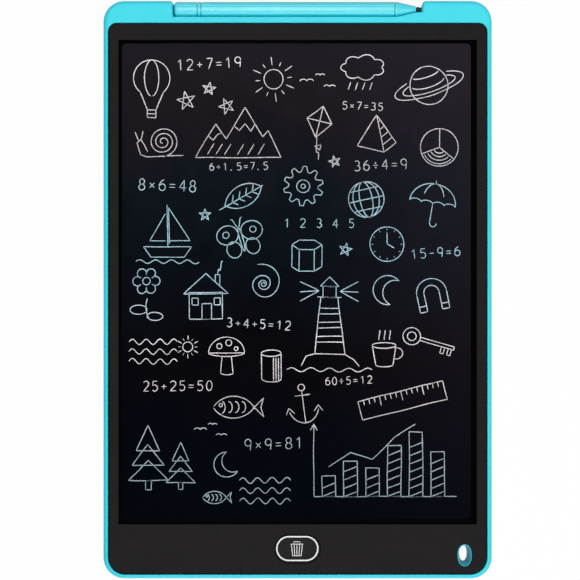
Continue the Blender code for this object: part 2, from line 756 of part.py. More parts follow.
def build_front_bezel():
    low, high = grown(POCKET_LOW, POCKET_HIGH, -GAP)
    corners = [corner - GAP for corner in POCKET_CORNERS]
    bezel = prism("front_bezel", [rounded_outline(low, high, corners)], SKIRT_BOTTOM, BEZEL_TOP)
    low, high = grown(low, high, -SKIRT_WALL)
    corners = [corner - SKIRT_WALL for corner in corners]
    inside = rounded_outline(low, high, corners)
    cut(bezel, prism("bezel_inside", [inside], SKIRT_BOTTOM - OVERRUN, BEZEL_BOTTOM))
    window = rectangle(WINDOW_LOW, WINDOW_HIGH)
    cut(bezel, prism("window", [window], SKIRT_BOTTOM, BEZEL_TOP + OVERRUN))
    key = stadium((0, BUTTON_Y), BUTTON_LENGTH + 2 * GAP, BUTTON_WIDTH + 2 * GAP)
    cut(bezel, prism("button_hole", [key], SKIRT_BOTTOM, BEZEL_TOP + OVERRUN))
    tube = oval(STRAP_PLACE, STRAP_TUBE_HALF_X + GAP, STRAP_TUBE_HALF_Y + GAP)
    cut(bezel, prism("strap_hole", [tube], SKIRT_BOTTOM, BEZEL_TOP + OVERRUN))
    join(bezel, boxes("snap_hooks", hook_spans(HOOK_REACH, 0)))
    finish(bezel, CHARCOAL, SATIN)


def build_screen_stack():
    low = (POCKET_LOW[0] + BOARD_SIDE_MARGIN, WINDOW_LOW[1])
    high = (POCKET_HIGH[0] - BOARD_SIDE_MARGIN, POCKET_HIGH[1] - BOARD_HEAD_MARGIN)
    board = prism("backing_board", [rectangle(low, high)], BOARD_BOTTOM, BOARD_BOTTOM + BOARD_THICKNESS)
    finish(board, BOARD_GREY, MATTE)

    low, high = grown(low, high, -FOAM_INSET)
    foam = prism("foam_pad", [rectangle(low, high)], FOAM_BOTTOM, FOAM_BOTTOM + FOAM_THICKNESS)
    finish(foam, FOAM_GREY, MATTE)

    low = (WINDOW_LOW[0] - BASE_FILM_OVERLAP_SIDE, WINDOW_LOW[1] - BASE_FILM_OVERLAP_END)
    high = (WINDOW_HIGH[0] + BASE_FILM_OVERLAP_SIDE, WINDOW_HIGH[1] + BASE_FILM_OVERLAP_END)
    outline = even_outline(low, high, BASE_FILM_CORNER)
    top = BASE_FILM_BOTTOM + BASE_FILM_THICKNESS
    finish(prism("black_base_film", [outline], BASE_FILM_BOTTOM, top), BLACK, GLOSSY)

    low = (WINDOW_LOW[0] + RIM_LEFT, WINDOW_LOW[1] + RIM_FOOT)
    high = (WINDOW_HIGH[0] - RIM_RIGHT, WINDOW_HIGH[1] - RIM_HEAD)
    outline = even_outline(low, high, WRITING_FILM_CORNER)
    top = WRITING_FILM_BOTTOM + WRITING_FILM_THICKNESS
    finish(prism("writing_film", [outline], WRITING_FILM_BOTTOM, top), FILM_DARK, GLOSSY)


def build_film_tail():
    """The tail is bonded under the film's lower edge, bends down and plugs into the connector."""
    edge = WINDOW_LOW[1] - BASE_FILM_OVERLAP_END
    top = BASE_FILM_BOTTOM - GAP
    slot_bottom = PART_BOTTOM + CONNECTOR_FLOOR + GAP
    mouth = PCB_HIGH[1] - CONNECTOR_SETBACK
    run = (
        (edge + TAIL_TAB, top),
        (edge, top),
        (edge - TAIL_BEND, slot_bottom + TAIL_THICKNESS),
        (mouth - TAIL_PLUG, slot_bottom + TAIL_THICKNESS),
    )
    under = [(y, z - TAIL_THICKNESS) for y, z in reversed(run)]
    half = TAIL_WIDTH / 2
    outline = [*run, *under]
    tail = prism("lcd_flex_tail", [outline], TAIL_X - half, TAIL_X + half, STAND_ON_YZ)
    finish(tail, AMBER, SATIN)

    half = CONNECTOR_LENGTH / 2
    slot_top = slot_bottom + TAIL_THICKNESS + GAP
    low = (TAIL_X - half, mouth - CONNECTOR_DEPTH, PART_BOTTOM)
    high = (TAIL_X + half, mouth, slot_top + CONNECTOR_ROOF)
    connector = boxes("flex_connector", [(low, high)])
    half = TAIL_WIDTH / 2 + GAP
    low = (TAIL_X - half, mouth - TAIL_PLUG - GAP, slot_bottom - GAP)
    high = (TAIL_X + half, mouth + OVERRUN, slot_top)
    cut(connector, boxes("tail_slot", [(low, high)]))
    finish(connector, CREAM, MATTE)


def build_circuit_board():
    outlines = [even_outline(PCB_LOW, PCB_HIGH, PCB_CORNER)]
    outlines += [circle(place, SCREW_SHANK_RADIUS + GAP) for place in SCREW_PLACES]
    half_x = LEVER_SIDE / 2 + GAP + PRONG_THICKNESS + GAP
    half_y = PRONG_DEPTH / 2 + GAP
    low = (LOCK_X - half_x, LOCK_Y - half_y)
    high = (LOCK_X + half_x + LOCK_TRAVEL, LOCK_Y + half_y)
    outlines.append(rectangle(low, high))
    finish(prism("circuit_board", outlines, PCB_BOTTOM, PCB_TOP), BOARD_GREEN, SATIN)

    head_bottom = PCB_TOP + GAP
    head_top = head_bottom + SCREW_HEAD_HEIGHT
    profile = (
        (0, head_top),
        (SCREW_HEAD_RADIUS, head_top),
        (SCREW_HEAD_RADIUS, head_bottom),
        (SCREW_SHANK_RADIUS, head_bottom),
        (SCREW_SHANK_RADIUS, SCREW_FLOOR + GAP),
        (0, SCREW_FLOOR + GAP),
    )
    for number, (x, y) in enumerate(SCREW_PLACES, start=1):
        place = Matrix.Translation((x, y, 0))
        screw = turned(f"board_screw_{number}", profile, place, steps=SMALL_STEPS)
        cut_cross(screw, (x, y), SCREW_HEAD_RADIUS, head_top - SCREW_RECESS, head_top + OVERRUN)
        finish(screw, STEEL, SATIN, 1.0)


def cut_cross(screw, place, head_radius, low, high):
    outline = cross(place, head_radius * CROSS_ARM_SHARE, head_radius * CROSS_WIDTH_SHARE)
    cut(screw, prism(screw.name + "_cross", [outline], low, high))


def soldered_at(stretch, shares, length, width):
    """Centre of a part at its shares of a stretch of the board and of the board's width."""
    x = stretch[0] + length / 2 + (stretch[1] - stretch[0] - length) * shares[0]
    y = PCB_LOW[1] + width / 2 + (PCB_WIDTH - width) * shares[1]
    return x, y


def board_block(name, stretch, shares, length, width, height, edge, colour):
    """A rectangular part soldered on a stretch of the board."""
    x, y = soldered_at(stretch, shares, length, width)
    low = (x - length / 2, y - width / 2, PART_BOTTOM)
    high = (x + length / 2, y + width / 2, PART_BOTTOM + height)
    block = boxes(name, [(low, high)])
    round_edges(block, edge)
    finish(block, colour, SATIN)


def build_board_parts():
    """The pulse circuit sits between the cell's contacts and the erase switch, or beyond that switch."""
    before = (PCB_LOW[0] + 2 * CONTACT_FOOT + PART_SPACING, -TACT_SIDE / 2 - PART_SPACING)
    beyond = (TACT_SIDE / 2 + PART_SPACING, LOCK_X + LOCK_TRAVEL / 2 - SWITCH_LENGTH / 2 - PART_SPACING)
    size = (CHIP_LENGTH, CHIP_WIDTH, CHIP_HEIGHT)
    board_block("driver_chip", before, CHIP_PLACE_SHARES, *size, CHIP_EDGE, BLACK)
    for number, shares in enumerate(CAPACITOR_PLACE_SHARES, start=1):
        size = (CAPACITOR_LENGTH, CAPACITOR_WIDTH, CAPACITOR_HEIGHT)
        board_block(f"capacitor_{number}", before, shares, *size, SMALL_PART_EDGE, CERAMIC_TAN)
    for number, shares in enumerate(RESISTOR_PLACE_SHARES, start=1):
        size = (RESISTOR_LENGTH, RESISTOR_WIDTH, RESISTOR_HEIGHT)
        board_block(f"resistor_{number}", beyond, shares, *size, SMALL_PART_EDGE, BLACK)

    x, y = soldered_at(before, INDUCTOR_PLACE_SHARES, 2 * INDUCTOR_RADIUS, 2 * INDUCTOR_RADIUS)
    profile = (
        (0, INDUCTOR_HEIGHT),
        (INDUCTOR_RADIUS, INDUCTOR_HEIGHT),
        (INDUCTOR_RADIUS, INDUCTOR_HEIGHT - INDUCTOR_FLANGE),
        (INDUCTOR_NECK, INDUCTOR_HEIGHT - INDUCTOR_FLANGE),
        (INDUCTOR_NECK, INDUCTOR_FLANGE),
        (INDUCTOR_RADIUS, INDUCTOR_FLANGE),
        (INDUCTOR_RADIUS, 0),
        (0, 0),
    )
    inductor = turned("inductor", profile, Matrix.Translation((x, y, PART_BOTTOM)), steps=SMALL_STEPS)
    finish(inductor, BLACK, SATIN)


def build_erase_button():
    """The oval key, its flange under the bezel, the stem, and the switch that it presses."""
    hole_floor = PART_BOTTOM + TACT_FLOOR
    plunger_low = hole_floor + BUTTON_TRAVEL + PLUNGER_SLACK
    plunger_high = PART_BOTTOM + TACT_HEIGHT + PLUNGER_PROUD
    half = TACT_SIDE / 2
    low = (-half, BUTTON_Y - half, PART_BOTTOM)
    high = (half, BUTTON_Y + half, PART_BOTTOM + TACT_HEIGHT)
    body = boxes("tact_switch_body", [(low, high)])
    centre = [(0, BUTTON_Y)]
    cut(body, rods("plunger_hole", centre, PLUNGER_RADIUS + GAP, hole_floor, plunger_high + OVERRUN))
    finish(body, STEEL, SATIN, 1.0)
    plunger = rods("tact_switch_plunger", centre, PLUNGER_RADIUS, plunger_low, plunger_high)
    finish(plunger, BLACK, MATTE)

    flange_top = BEZEL_BOTTOM - GAP
    flange_low = flange_top - BUTTON_FLANGE_THICKNESS
    key = stadium((0, BUTTON_Y), BUTTON_LENGTH, BUTTON_WIDTH)
    button = prism("erase_button", [key], flange_low + EMBED, BEZEL_TOP + BUTTON_PROUD)
    round_rims(button, 0, BUTTON_EDGE)
    flange = stadium((0, BUTTON_Y), BUTTON_LENGTH + 2 * BUTTON_FLANGE, BUTTON_WIDTH + 2 * BUTTON_FLANGE)
    join(button, prism("button_flange", [flange], flange_low, flange_top))
    join(button, rods("button_stem", centre, BUTTON_STEM_RADIUS, plunger_high + GAP, flange_top))
    finish(button, CHARCOAL, SATIN)
    carry("erase_button_slide", (0, BUTTON_Y, BEZEL_TOP), [button, plunger])


def build_erase_lock():
    """The knob on the back, its prongs, and the slide switch that they carry along."""
    lap = LOCK_TRAVEL + GAP + KNOB_FLANGE_LAP
    half_x = KNOB_LENGTH / 2
    half_y = KNOB_WIDTH / 2
    low = (LOCK_X - half_x - lap, LOCK_Y - half_y - GAP - KNOB_FLANGE_LAP, KNOB_FLANGE_BOTTOM)
    high = (LOCK_X + half_x + lap, LOCK_Y + half_y + GAP + KNOB_FLANGE_LAP, KNOB_FLANGE_TOP)
    knob = boxes("lock_knob", [(low, high)])
    low = (LOCK_X - half_x, LOCK_Y - half_y, KNOB_RECESS)
    high = (LOCK_X + half_x, LOCK_Y + half_y, KNOB_FLANGE_BOTTOM + EMBED)
    join(knob, boxes("knob_thumb", [(low, high)]))
    inner = LEVER_SIDE / 2 + GAP
    outer = inner + PRONG_THICKNESS
    half = PRONG_DEPTH / 2
    spans = []
    for near, far in ((-outer, -inner), (inner, outer)):
        low = (LOCK_X + near, LOCK_Y - half, KNOB_FLANGE_TOP - EMBED)
        high = (LOCK_X + far, LOCK_Y + half, KNOB_FLANGE_TOP + PRONG_HEIGHT)
        spans.append((low, high))
    join(knob, boxes("knob_prongs", spans))
    finish(knob, CHARCOAL, MATTE)

    half = LEVER_SIDE / 2
    low = (LOCK_X - half, LOCK_Y - half, KNOB_FLANGE_TOP + GAP)
    high = (LOCK_X + half, LOCK_Y + half, PART_BOTTOM + LEVER_GRIP)
    lever = boxes("slide_switch_lever", [(low, high)])
    finish(lever, BLACK, MATTE)

    middle = LOCK_X + LOCK_TRAVEL / 2
    low = (middle - SWITCH_LENGTH / 2, LOCK_Y - SWITCH_WIDTH / 2, PART_BOTTOM)
    high = (middle + SWITCH_LENGTH / 2, LOCK_Y + SWITCH_WIDTH / 2, PART_BOTTOM + SWITCH_HEIGHT)
    body = boxes("slide_switch_body", [(low, high)])
    half += GAP
    low = (LOCK_X - half, LOCK_Y - half, PART_BOTTOM - OVERRUN)
    high = (LOCK_X + half + LOCK_TRAVEL, LOCK_Y + half, PART_BOTTOM + LEVER_GRIP + GAP)
    cut(body, boxes("lever_slot", [(low, high)]))
    finish(body, STEEL, SATIN, 1.0)
    carry("lock_slide", (LOCK_X, LOCK_Y, KNOB_FLANGE_BOTTOM), [knob, lever])


def door_screw_tip():
    return DOOR_RECESS + DOOR_SCREW_SINK + DOOR_SCREW_HEAD_HEIGHT + DOOR_SCREW_LENGTH


def build_battery():
    """The coin cell with its two spring contacts, which run to feet on the circuit board."""
    profile = (
        (0, CELL_TOP),
        (CELL_CAP_RADIUS, CELL_TOP),
        (CELL_CAP_RADIUS, CELL_TOP - CELL_CAP_STEP),
        (CELL_RADIUS, CELL_TOP - CELL_CAP_STEP),
        (CELL_RADIUS, CELL_BOTTOM + CELL_EDGE),
        (CELL_RADIUS - CELL_EDGE, CELL_BOTTOM),
        (0, CELL_BOTTOM),
    )
    cell = turned("coin_cell", profile, Matrix.Translation((CELL_X, CELL_Y, 0)))
    finish(cell, STEEL, GLOSSY, 1.0)

    foot_start = PCB_LOW[0] + CONTACT_FOOT
    foot_end = foot_start + CONTACT_FOOT
    low = CELL_TOP + GAP
    high = low + CONTACT_THICKNESS
    foot_high = PART_BOTTOM + CONTACT_THICKNESS
    outline = [
        (CELL_X - CONTACT_REACH, low),
        (foot_start - CONTACT_THICKNESS, low),
        (foot_start - CONTACT_THICKNESS, PART_BOTTOM),
        (foot_end, PART_BOTTOM),
        (foot_end, foot_high),
        (foot_start, foot_high),
        (foot_start, high),
        (CELL_X - CONTACT_REACH, high),
    ]
    place_contact("negative_contact", outline, CELL_Y + NEGATIVE_SHIFT_Y)

    blade = CELL_X + BORE_RADIUS
    outline = [
        (blade, BAY_TOP + GAP),
        (blade + CONTACT_THICKNESS, BAY_TOP + GAP),
        (blade + CONTACT_THICKNESS, PART_BOTTOM),
        (foot_end, PART_BOTTOM),
        (foot_end, foot_high),
        (blade, foot_high),
    ]
    place_contact("positive_contact", outline, CELL_Y + POSITIVE_SHIFT_Y)


def place_contact(name, outline, y):
    half = CONTACT_WIDTH / 2
    contact = prism(name, [outline], -y - half, -y + half, STAND_ON_XZ)
    finish(contact, STEEL, GLOSSY, 1.0)


def build_battery_door():
    outline = even_outline(DOOR_LOW, DOOR_HIGH, DOOR_CORNER)
    door = prism("battery_door", [outline], DOOR_RECESS, DOOR_TOP)
    head_low = DOOR_RECESS + DOOR_SCREW_SINK
    head_high = head_low + DOOR_SCREW_HEAD_HEIGHT
    sink = DOOR_SCREW_HEAD_RADIUS + GAP
    cut(door, rods("door_sink", [DOOR_SCREW_PLACE], sink, -OVERRUN, head_high + GAP))
    shank = DOOR_SCREW_SHANK_RADIUS + GAP
    cut(door, rods("door_hole", [DOOR_SCREW_PLACE], shank, -OVERRUN, DOOR_TOP + OVERRUN))
    finish(door, CYAN, SATIN)

    profile = (
        (0, door_screw_tip()),
        (DOOR_SCREW_SHANK_RADIUS, door_screw_tip()),
        (DOOR_SCREW_SHANK_RADIUS, head_high),
        (DOOR_SCREW_HEAD_RADIUS, head_high),
        (DOOR_SCREW_HEAD_RADIUS, head_low),
        (0, head_low),
    )
    place = Matrix.Translation((*DOOR_SCREW_PLACE, 0))
    screw = turned("battery_door_screw", profile, place, steps=SMALL_STEPS)
    recess = head_low + DOOR_SCREW_RECESS
    cut_cross(screw, DOOR_SCREW_PLACE, DOOR_SCREW_HEAD_RADIUS, -OVERRUN, recess)
    finish(screw, STEEL, SATIN, 1.0)
    middle = ((DOOR_LOW[0] + DOOR_HIGH[0]) / 2, CELL_Y, DOOR_RECESS)
    carry("battery_door_slide", middle, [door, screw])


def sleeve(name, start, length):
    """A plain tube along the pen."""
    end = start + length
    profile = ((PEN_RADIUS, end), (PEN_RADIUS, start), (BARREL_BORE, start), (BARREL_BORE, end))
    return turned(name, profile, pen_frame(), closed=True)


def build_pen():
    cap_end = CAP_START + CAP_LENGTH
    profile = [
        (0, BARREL_START + SPIGOT_LENGTH),
        (SPIGOT_RADIUS, BARREL_START + SPIGOT_LENGTH),
        (SPIGOT_RADIUS, cap_end),
        (PEN_RADIUS, cap_end),
    ]
    for step in range(FILLET_STEPS + 1):
        angle = step / FILLET_STEPS * math.pi / 2
        radius = PEN_RADIUS - CAP_ROUND + CAP_ROUND * math.cos(angle)
        profile.append((radius, CAP_START + CAP_ROUND - CAP_ROUND * math.sin(angle)))
    profile.append((0, CAP_START))
    cap = finish(turned("pen_end_cap", profile, pen_frame()), CYAN, GLOSSY)
    ring = finish(sleeve("pen_ring", RING_START, RING_LENGTH), CYAN, GLOSSY)
    barrel = finish(sleeve("pen_barrel", BARREL_START, BARREL_LENGTH), CYAN, GLOSSY)

    bore = TIP_STEM_RADIUS + GAP
    bore_floor = NOSE_END - TIP_STEM_LENGTH
    profile = (
        (0, bore_floor),
        (bore, bore_floor),
        (bore, NOSE_END),
        (CONE_END_RADIUS, NOSE_END),
        (PEN_RADIUS, CONE_START),
        (PEN_RADIUS, NOSE_START),
        (SPIGOT_RADIUS, NOSE_START),
        (SPIGOT_RADIUS, NOSE_START - SPIGOT_LENGTH),
        (0, NOSE_START - SPIGOT_LENGTH),
    )
    nose = finish(turned("pen_nose", profile, pen_frame()), CYAN, GLOSSY)
    profile = (
        (0, TIP_END),
        (TIP_END_RADIUS, TIP_END),
        (TIP_RADIUS, TIP_START),
        (TIP_STEM_RADIUS, TIP_START),
        (TIP_STEM_RADIUS, bore_floor + GAP),
        (0, bore_floor + GAP),
    )
    tip = finish(turned("pen_tip", profile, pen_frame()), BLACK, SATIN)
    carry("pen_slide", (PEN_SHIFT_X, PEN_Y, PEN_Z), [cap, ring, barrel, nose, tip])


build_rear_case()
build_front_bezel()
build_screen_stack()
build_film_tail()
build_circuit_board()
build_board_parts()
build_erase_button()
build_erase_lock()
build_battery()
build_battery_door()
build_pen()
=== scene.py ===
# %% [markdown]
# # A thin writing tablet, dressed over its own solids
# A writing tablet is a flat plastic case, a dark film that shows pressed lines, a few controls and a pen.
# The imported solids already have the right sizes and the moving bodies. This lesson gives them their looks.
# A piece with soft edges is made again, finer, in the same place. A piece whose shape is right keeps its solid
# and gets a finish. Everything is in metres, with the screen up and the pen edge towards +Y.

import json
import math

import bmesh
import bpy
from mathutils import Matrix, Vector, noise


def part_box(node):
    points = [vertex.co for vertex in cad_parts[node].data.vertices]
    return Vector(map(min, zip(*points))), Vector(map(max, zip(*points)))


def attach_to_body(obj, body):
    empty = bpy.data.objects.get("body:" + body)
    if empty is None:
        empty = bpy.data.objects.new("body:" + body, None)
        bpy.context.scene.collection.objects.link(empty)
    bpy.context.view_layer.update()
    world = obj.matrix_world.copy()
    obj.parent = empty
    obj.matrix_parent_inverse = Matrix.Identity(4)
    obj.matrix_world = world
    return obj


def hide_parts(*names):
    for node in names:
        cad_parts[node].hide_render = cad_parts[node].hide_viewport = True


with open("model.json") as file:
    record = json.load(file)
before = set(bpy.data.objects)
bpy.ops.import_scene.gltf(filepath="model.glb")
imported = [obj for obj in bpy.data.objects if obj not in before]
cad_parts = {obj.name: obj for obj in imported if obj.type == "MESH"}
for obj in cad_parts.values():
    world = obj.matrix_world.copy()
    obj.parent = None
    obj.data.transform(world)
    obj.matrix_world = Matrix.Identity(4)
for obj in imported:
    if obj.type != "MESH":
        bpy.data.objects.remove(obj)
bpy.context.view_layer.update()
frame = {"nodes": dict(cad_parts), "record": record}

# %% [markdown]
# ## Sizes come from the solids
# Each finer piece has to fill the place of its solid. Typing all sizes again would work, but two lists of the
# same sizes drift apart. So the boxes of the solids give the places, and only what a box can't tell, such as a
# corner's radius, is named here.

# %% Read the shared places
GAP = 0.0003
HOOK_REACH = 0.0008
MOUTH_CLEARANCE = 0.0006
LIP_SLIMMER = 0.00012
OVERRUN = 0.002
EMBED = 0.0003
WELD = 0.0000002
FACE_BREAK = 0.00002

case_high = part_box("rear_case")[1]
bezel_low, bezel_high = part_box("front_bezel")
half_width, half_length, lip_top = case_high
bezel_top = bezel_high.z
pocket_inset = HOOK_REACH - GAP
pocket_low = (bezel_low.x + pocket_inset - LIP_SLIMMER, bezel_low.y + pocket_inset - LIP_SLIMMER)
pocket_high = (bezel_high.x - pocket_inset + LIP_SLIMMER, bezel_high.y - pocket_inset + LIP_SLIMMER)


def middle_of(node):
    """A solid's centre as seen from the front."""
    low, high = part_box(node)
    return (low.x + high.x) / 2, (low.y + high.y) / 2


print("case", round(2 * half_width, 4), "by", round(2 * half_length, 4), "lip at", round(lip_top, 4))

# %% [markdown]
# ## The camera
# The photograph looks straight down on the screen, from about arm's length. A long lens at 0.7 m gives the same
# slight view into the strap hole. An orthographic camera would be simpler, but it would lose that view.
# The scale follows from the case's height in the photograph, so the tablet fills the frame as it does there.

# %% Place the camera
FRAME_PIXELS = 580
CASE_TOP_PIXEL = 0.8
CASE_BOTTOM_PIXEL = 578.5
CASE_MIDDLE_PIXEL = 297.6
VIEW_DISTANCE = 0.70
WIDEST_HEIGHT = 0.0058
SENSOR_WIDTH = 36.0

metres_per_pixel = 2 * half_length / (CASE_BOTTOM_PIXEL - CASE_TOP_PIXEL)
camera_data = bpy.data.cameras.new("photo_camera")
camera_data.sensor_width = SENSOR_WIDTH
camera_data.lens = SENSOR_WIDTH * VIEW_DISTANCE / (FRAME_PIXELS * metres_per_pixel)
camera = bpy.data.objects.new("photo_camera", camera_data)
camera.location = (
    (FRAME_PIXELS / 2 - CASE_MIDDLE_PIXEL) * metres_per_pixel,
    ((CASE_TOP_PIXEL + CASE_BOTTOM_PIXEL) / 2 - FRAME_PIXELS / 2) * metres_per_pixel,
    WIDEST_HEIGHT + VIEW_DISTANCE,
)
bpy.context.scene.collection.objects.link(camera)
bpy.context.scene.camera = camera
bpy.context.scene.view_settings.view_transform = "Standard"
print("lens", round(camera_data.lens, 1), "mm")

# %% [markdown]
# ## Small tools for node trees
# Every finish is a tree of nodes on the Principled shader. Placing nodes by hand takes six lines each, so a
# helper adds one node with its settings. All textures read the piece's own metres (Object coordinates), because
# then a grain of 0.3 mm is 0.3 mm on every piece, and it moves with the piece.

# %% Define the node helpers
def add_node(tree, kind, inputs=None, **settings):
    """Adds a node, sets its properties, and sets or links its inputs by name or number."""
    made = tree.nodes.new(kind)
    for name, value in settings.items():
        setattr(made, name, value)
    for name, value in (inputs or {}).items():
        if isinstance(value, bpy.types.NodeSocket):
            tree.links.new(value, made.inputs[name])
        else:
            made.inputs[name].default_value = value
    return made


def calculate(tree, operation, *values):
    """A Math node's result. Each value is a number or another node's output."""
    return add_node(tree, "ShaderNodeMath", dict(enumerate(values)), operation=operation).outputs[0]


def spread(tree, value, low, high, to_low=0.0, to_high=1.0):
    """Maps a value from one range to another and holds it there."""
    inputs = {"Value": value, "From Min": low, "From Max": high, "To Min": to_low, "To Max": to_high}
    return add_node(tree, "ShaderNodeMapRange", inputs).outputs["Result"]


def blend(tree, kind, share, first, second):
    """Blends two colours by a share."""
    inputs = {"Factor": share, "A": first, "B": second}
    return add_node(tree, "ShaderNodeMix", inputs, data_type="RGBA", blend_type=kind).outputs["Result"]


def new_finish(name, colour, roughness, metallic=0.0, gloss=0.5):
    """A material with one colour, a roughness and a share of mirror reflection."""
    material = bpy.data.materials.new(name)
    material.use_nodes = True
    shader = material.node_tree.nodes["Principled BSDF"]
    shader.inputs["Base Color"].default_value = (*colour, 1)
    shader.inputs["Roughness"].default_value = roughness
    shader.inputs["Metallic"].default_value = metallic
    shader.inputs["Specular IOR Level"].default_value = gloss
    return material


def feed(material, channel, value):
    """Links a node's output to the shader's colour, roughness or normal."""
    shader = material.node_tree.nodes["Principled BSDF"]
    material.node_tree.links.new(value, shader.inputs[channel])


def fed_by(material, channel):
    """The output that is linked to the shader's channel, or None."""
    links = material.node_tree.nodes["Principled BSDF"].inputs[channel].links
    return links[0].from_socket if links else None


def place_of(material):
    """The piece's own coordinates, in metres."""
    return add_node(material.node_tree, "ShaderNodeTexCoord").outputs["Object"]


def noise_of(material, size, detail=2.0):
    """A soft random pattern whose spots are about one size across."""
    settings = {"Vector": place_of(material), "Scale": 1 / size, "Detail": detail}
    return add_node(material.node_tree, "ShaderNodeTexNoise", settings).outputs["Fac"]


def ramp_of(material, value, stops):
    """Turns a value into a colour through (position, colour) stops."""
    ramp = add_node(material.node_tree, "ShaderNodeValToRGB", {"Fac": value})
    elements = ramp.color_ramp.elements
    while len(elements) < len(stops):
        elements.new(1.0)
    for element, (position, colour) in zip(elements, stops):
        element.position = position
        element.color = (*colour, 1)
    return ramp.outputs["Color"]


print("node helpers ready")

# %% [markdown]
# ## Grain, tint and painted shade
# Moulded plastic is never quite smooth: its mould was etched, so it has a fine grain, and it cools with a faint
# wave. Both are bumps of a few micrometres. The colour also drifts a little, and the gloss more. The first
# helpers add these to any finish, and the bumps are chained, so a finish can have a fine and a broad one. The
# last two paint shade into the colour in narrow places that hardly any light reaches, where rendered shade would need
# many more rays.

# %% Define the surface helpers
TINT_BAND = (0.35, 0.65)
GLOSS_BAND = (0.3, 0.7)
DRIFT_DETAIL = 3.0


def add_bump(material, height, depth):
    """Raises the surface by depth, in metres, where height is 1, on top of any bump that is there."""
    inputs = {"Height": height, "Distance": depth, "Strength": 1.0}
    if fed_by(material, "Normal"):
        inputs["Normal"] = fed_by(material, "Normal")
    feed(material, "Normal", add_node(material.node_tree, "ShaderNodeBump", inputs).outputs["Normal"])


def add_grain(material, size, depth):
    add_bump(material, noise_of(material, size), depth)


def drift_tint(material, size, low_tint, high_tint):
    """Lets the colour wander between two tints in soft spots."""
    stops = zip(TINT_BAND, (low_tint, high_tint))
    feed(material, "Base Color", ramp_of(material, noise_of(material, size, DRIFT_DETAIL), tuple(stops)))


def drift_gloss(material, size, low, high):
    """Lets the roughness wander between two values."""
    wander = noise_of(material, size, DRIFT_DETAIL)
    feed(material, "Roughness", spread(material.node_tree, wander, *GLOSS_BAND, low, high))


def paint_shade_below(material, value, limit, share):
    """Paints shade: multiplies the colour by a share wherever a value is below the limit."""
    tree = material.node_tree
    below = calculate(tree, "LESS_THAN", value, limit)
    colour = fed_by(material, "Base Color")
    feed(material, "Base Color", blend(tree, "MULTIPLY", below, colour, (*share, 1)))


def paint_shade_inside(material, centre, halves, share):
    """Paints shade: multiplies the colour by a share inside an ellipsoid."""
    reach = place_of(material)
    for operation, other in (("SUBTRACT", centre), ("DIVIDE", halves), ("LENGTH", (0, 0, 0))):
        inputs = {0: reach, 1: other}
        step = add_node(material.node_tree, "ShaderNodeVectorMath", inputs, operation=operation)
        reach = step.outputs["Value" if operation == "LENGTH" else "Vector"]
    paint_shade_below(material, reach, 1.0, share)


print("surface helpers ready")

# %% [markdown]
# ## The floor
# The photograph's ground is plain white. A white floor under lamps goes grey where the light falls off, so the
# floor glows white to the camera by a share, and its own shading keeps the rest, with the tablet's shadow in it.
# Seen from below, and for light that comes up from below, it is clear, so the back of the tablet can be looked at.

# %% Lay the floor
FLOOR_REACH = 3.0
FLOOR_SIDES = 64
FLOOR_DROP = 0.0002
FLOOR_GLOW_SHARE = 0.90
FLOOR_WHITE = (0.92, 0.92, 0.92, 1)


def seen_ray(tree):
    """1 for rays that show the surroundings: camera, glossy and transmission rays."""
    rays = add_node(tree, "ShaderNodeLightPath").outputs
    seen = calculate(tree, "MAXIMUM", rays["Is Camera Ray"], rays["Is Glossy Ray"])
    return calculate(tree, "MAXIMUM", seen, rays["Is Transmission Ray"])


def mix_floor():
    """White that partly glows where it is seen, and clear from below and for light that comes up."""
    material = bpy.data.materials.new("white_floor")
    material.use_nodes = True
    tree = material.node_tree
    tree.nodes.remove(tree.nodes["Principled BSDF"])
    shaded = add_node(tree, "ShaderNodeBsdfDiffuse", {"Color": FLOOR_WHITE}).outputs[0]
    glowing = add_node(tree, "ShaderNodeEmission", {"Strength": 1.0}).outputs[0]
    share = calculate(tree, "MULTIPLY", seen_ray(tree), FLOOR_GLOW_SHARE)
    surface = add_node(tree, "ShaderNodeMixShader", {0: share, 1: shaded, 2: glowing}).outputs[0]
    rays = add_node(tree, "ShaderNodeLightPath").outputs
    below = add_node(tree, "ShaderNodeNewGeometry").outputs["Backfacing"]
    passing = calculate(tree, "MAXIMUM", rays["Is Shadow Ray"], rays["Is Diffuse Ray"])
    clear = calculate(tree, "MAXIMUM", passing, below)
    glass = add_node(tree, "ShaderNodeBsdfTransparent").outputs[0]
    whole = add_node(tree, "ShaderNodeMixShader", {0: clear, 1: surface, 2: glass}).outputs[0]
    tree.links.new(whole, tree.nodes["Material Output"].inputs["Surface"])
    return material


body = bmesh.new()
bmesh.ops.create_circle(body, cap_ends=True, segments=FLOOR_SIDES, radius=FLOOR_REACH)
floor_mesh = bpy.data.meshes.new("floor")
body.to_mesh(floor_mesh)
body.free()
floor_mesh.materials.append(mix_floor())
floor = bpy.data.objects.new("floor", floor_mesh)
floor.location.z = -FLOOR_DROP
bpy.context.scene.collection.objects.link(floor)
print("floor:", floor.name)

# %% [markdown]
# ## The light
# The photograph is lit softly. The pen has one broad pale streak along its top, and the sides of the case are
# deeper than its face. So a long strip lamp hangs over the tablet: the round pen mirrors it as a streak, and the
# matt film and bezel hardly do. A wide lamp stands to the right. Two lower ones stand beyond the foot and the
# head and light the pen's two flanks. The world gives the rest, mostly from above. One more lamp, under the
# floor, lights the back of a turned tablet.

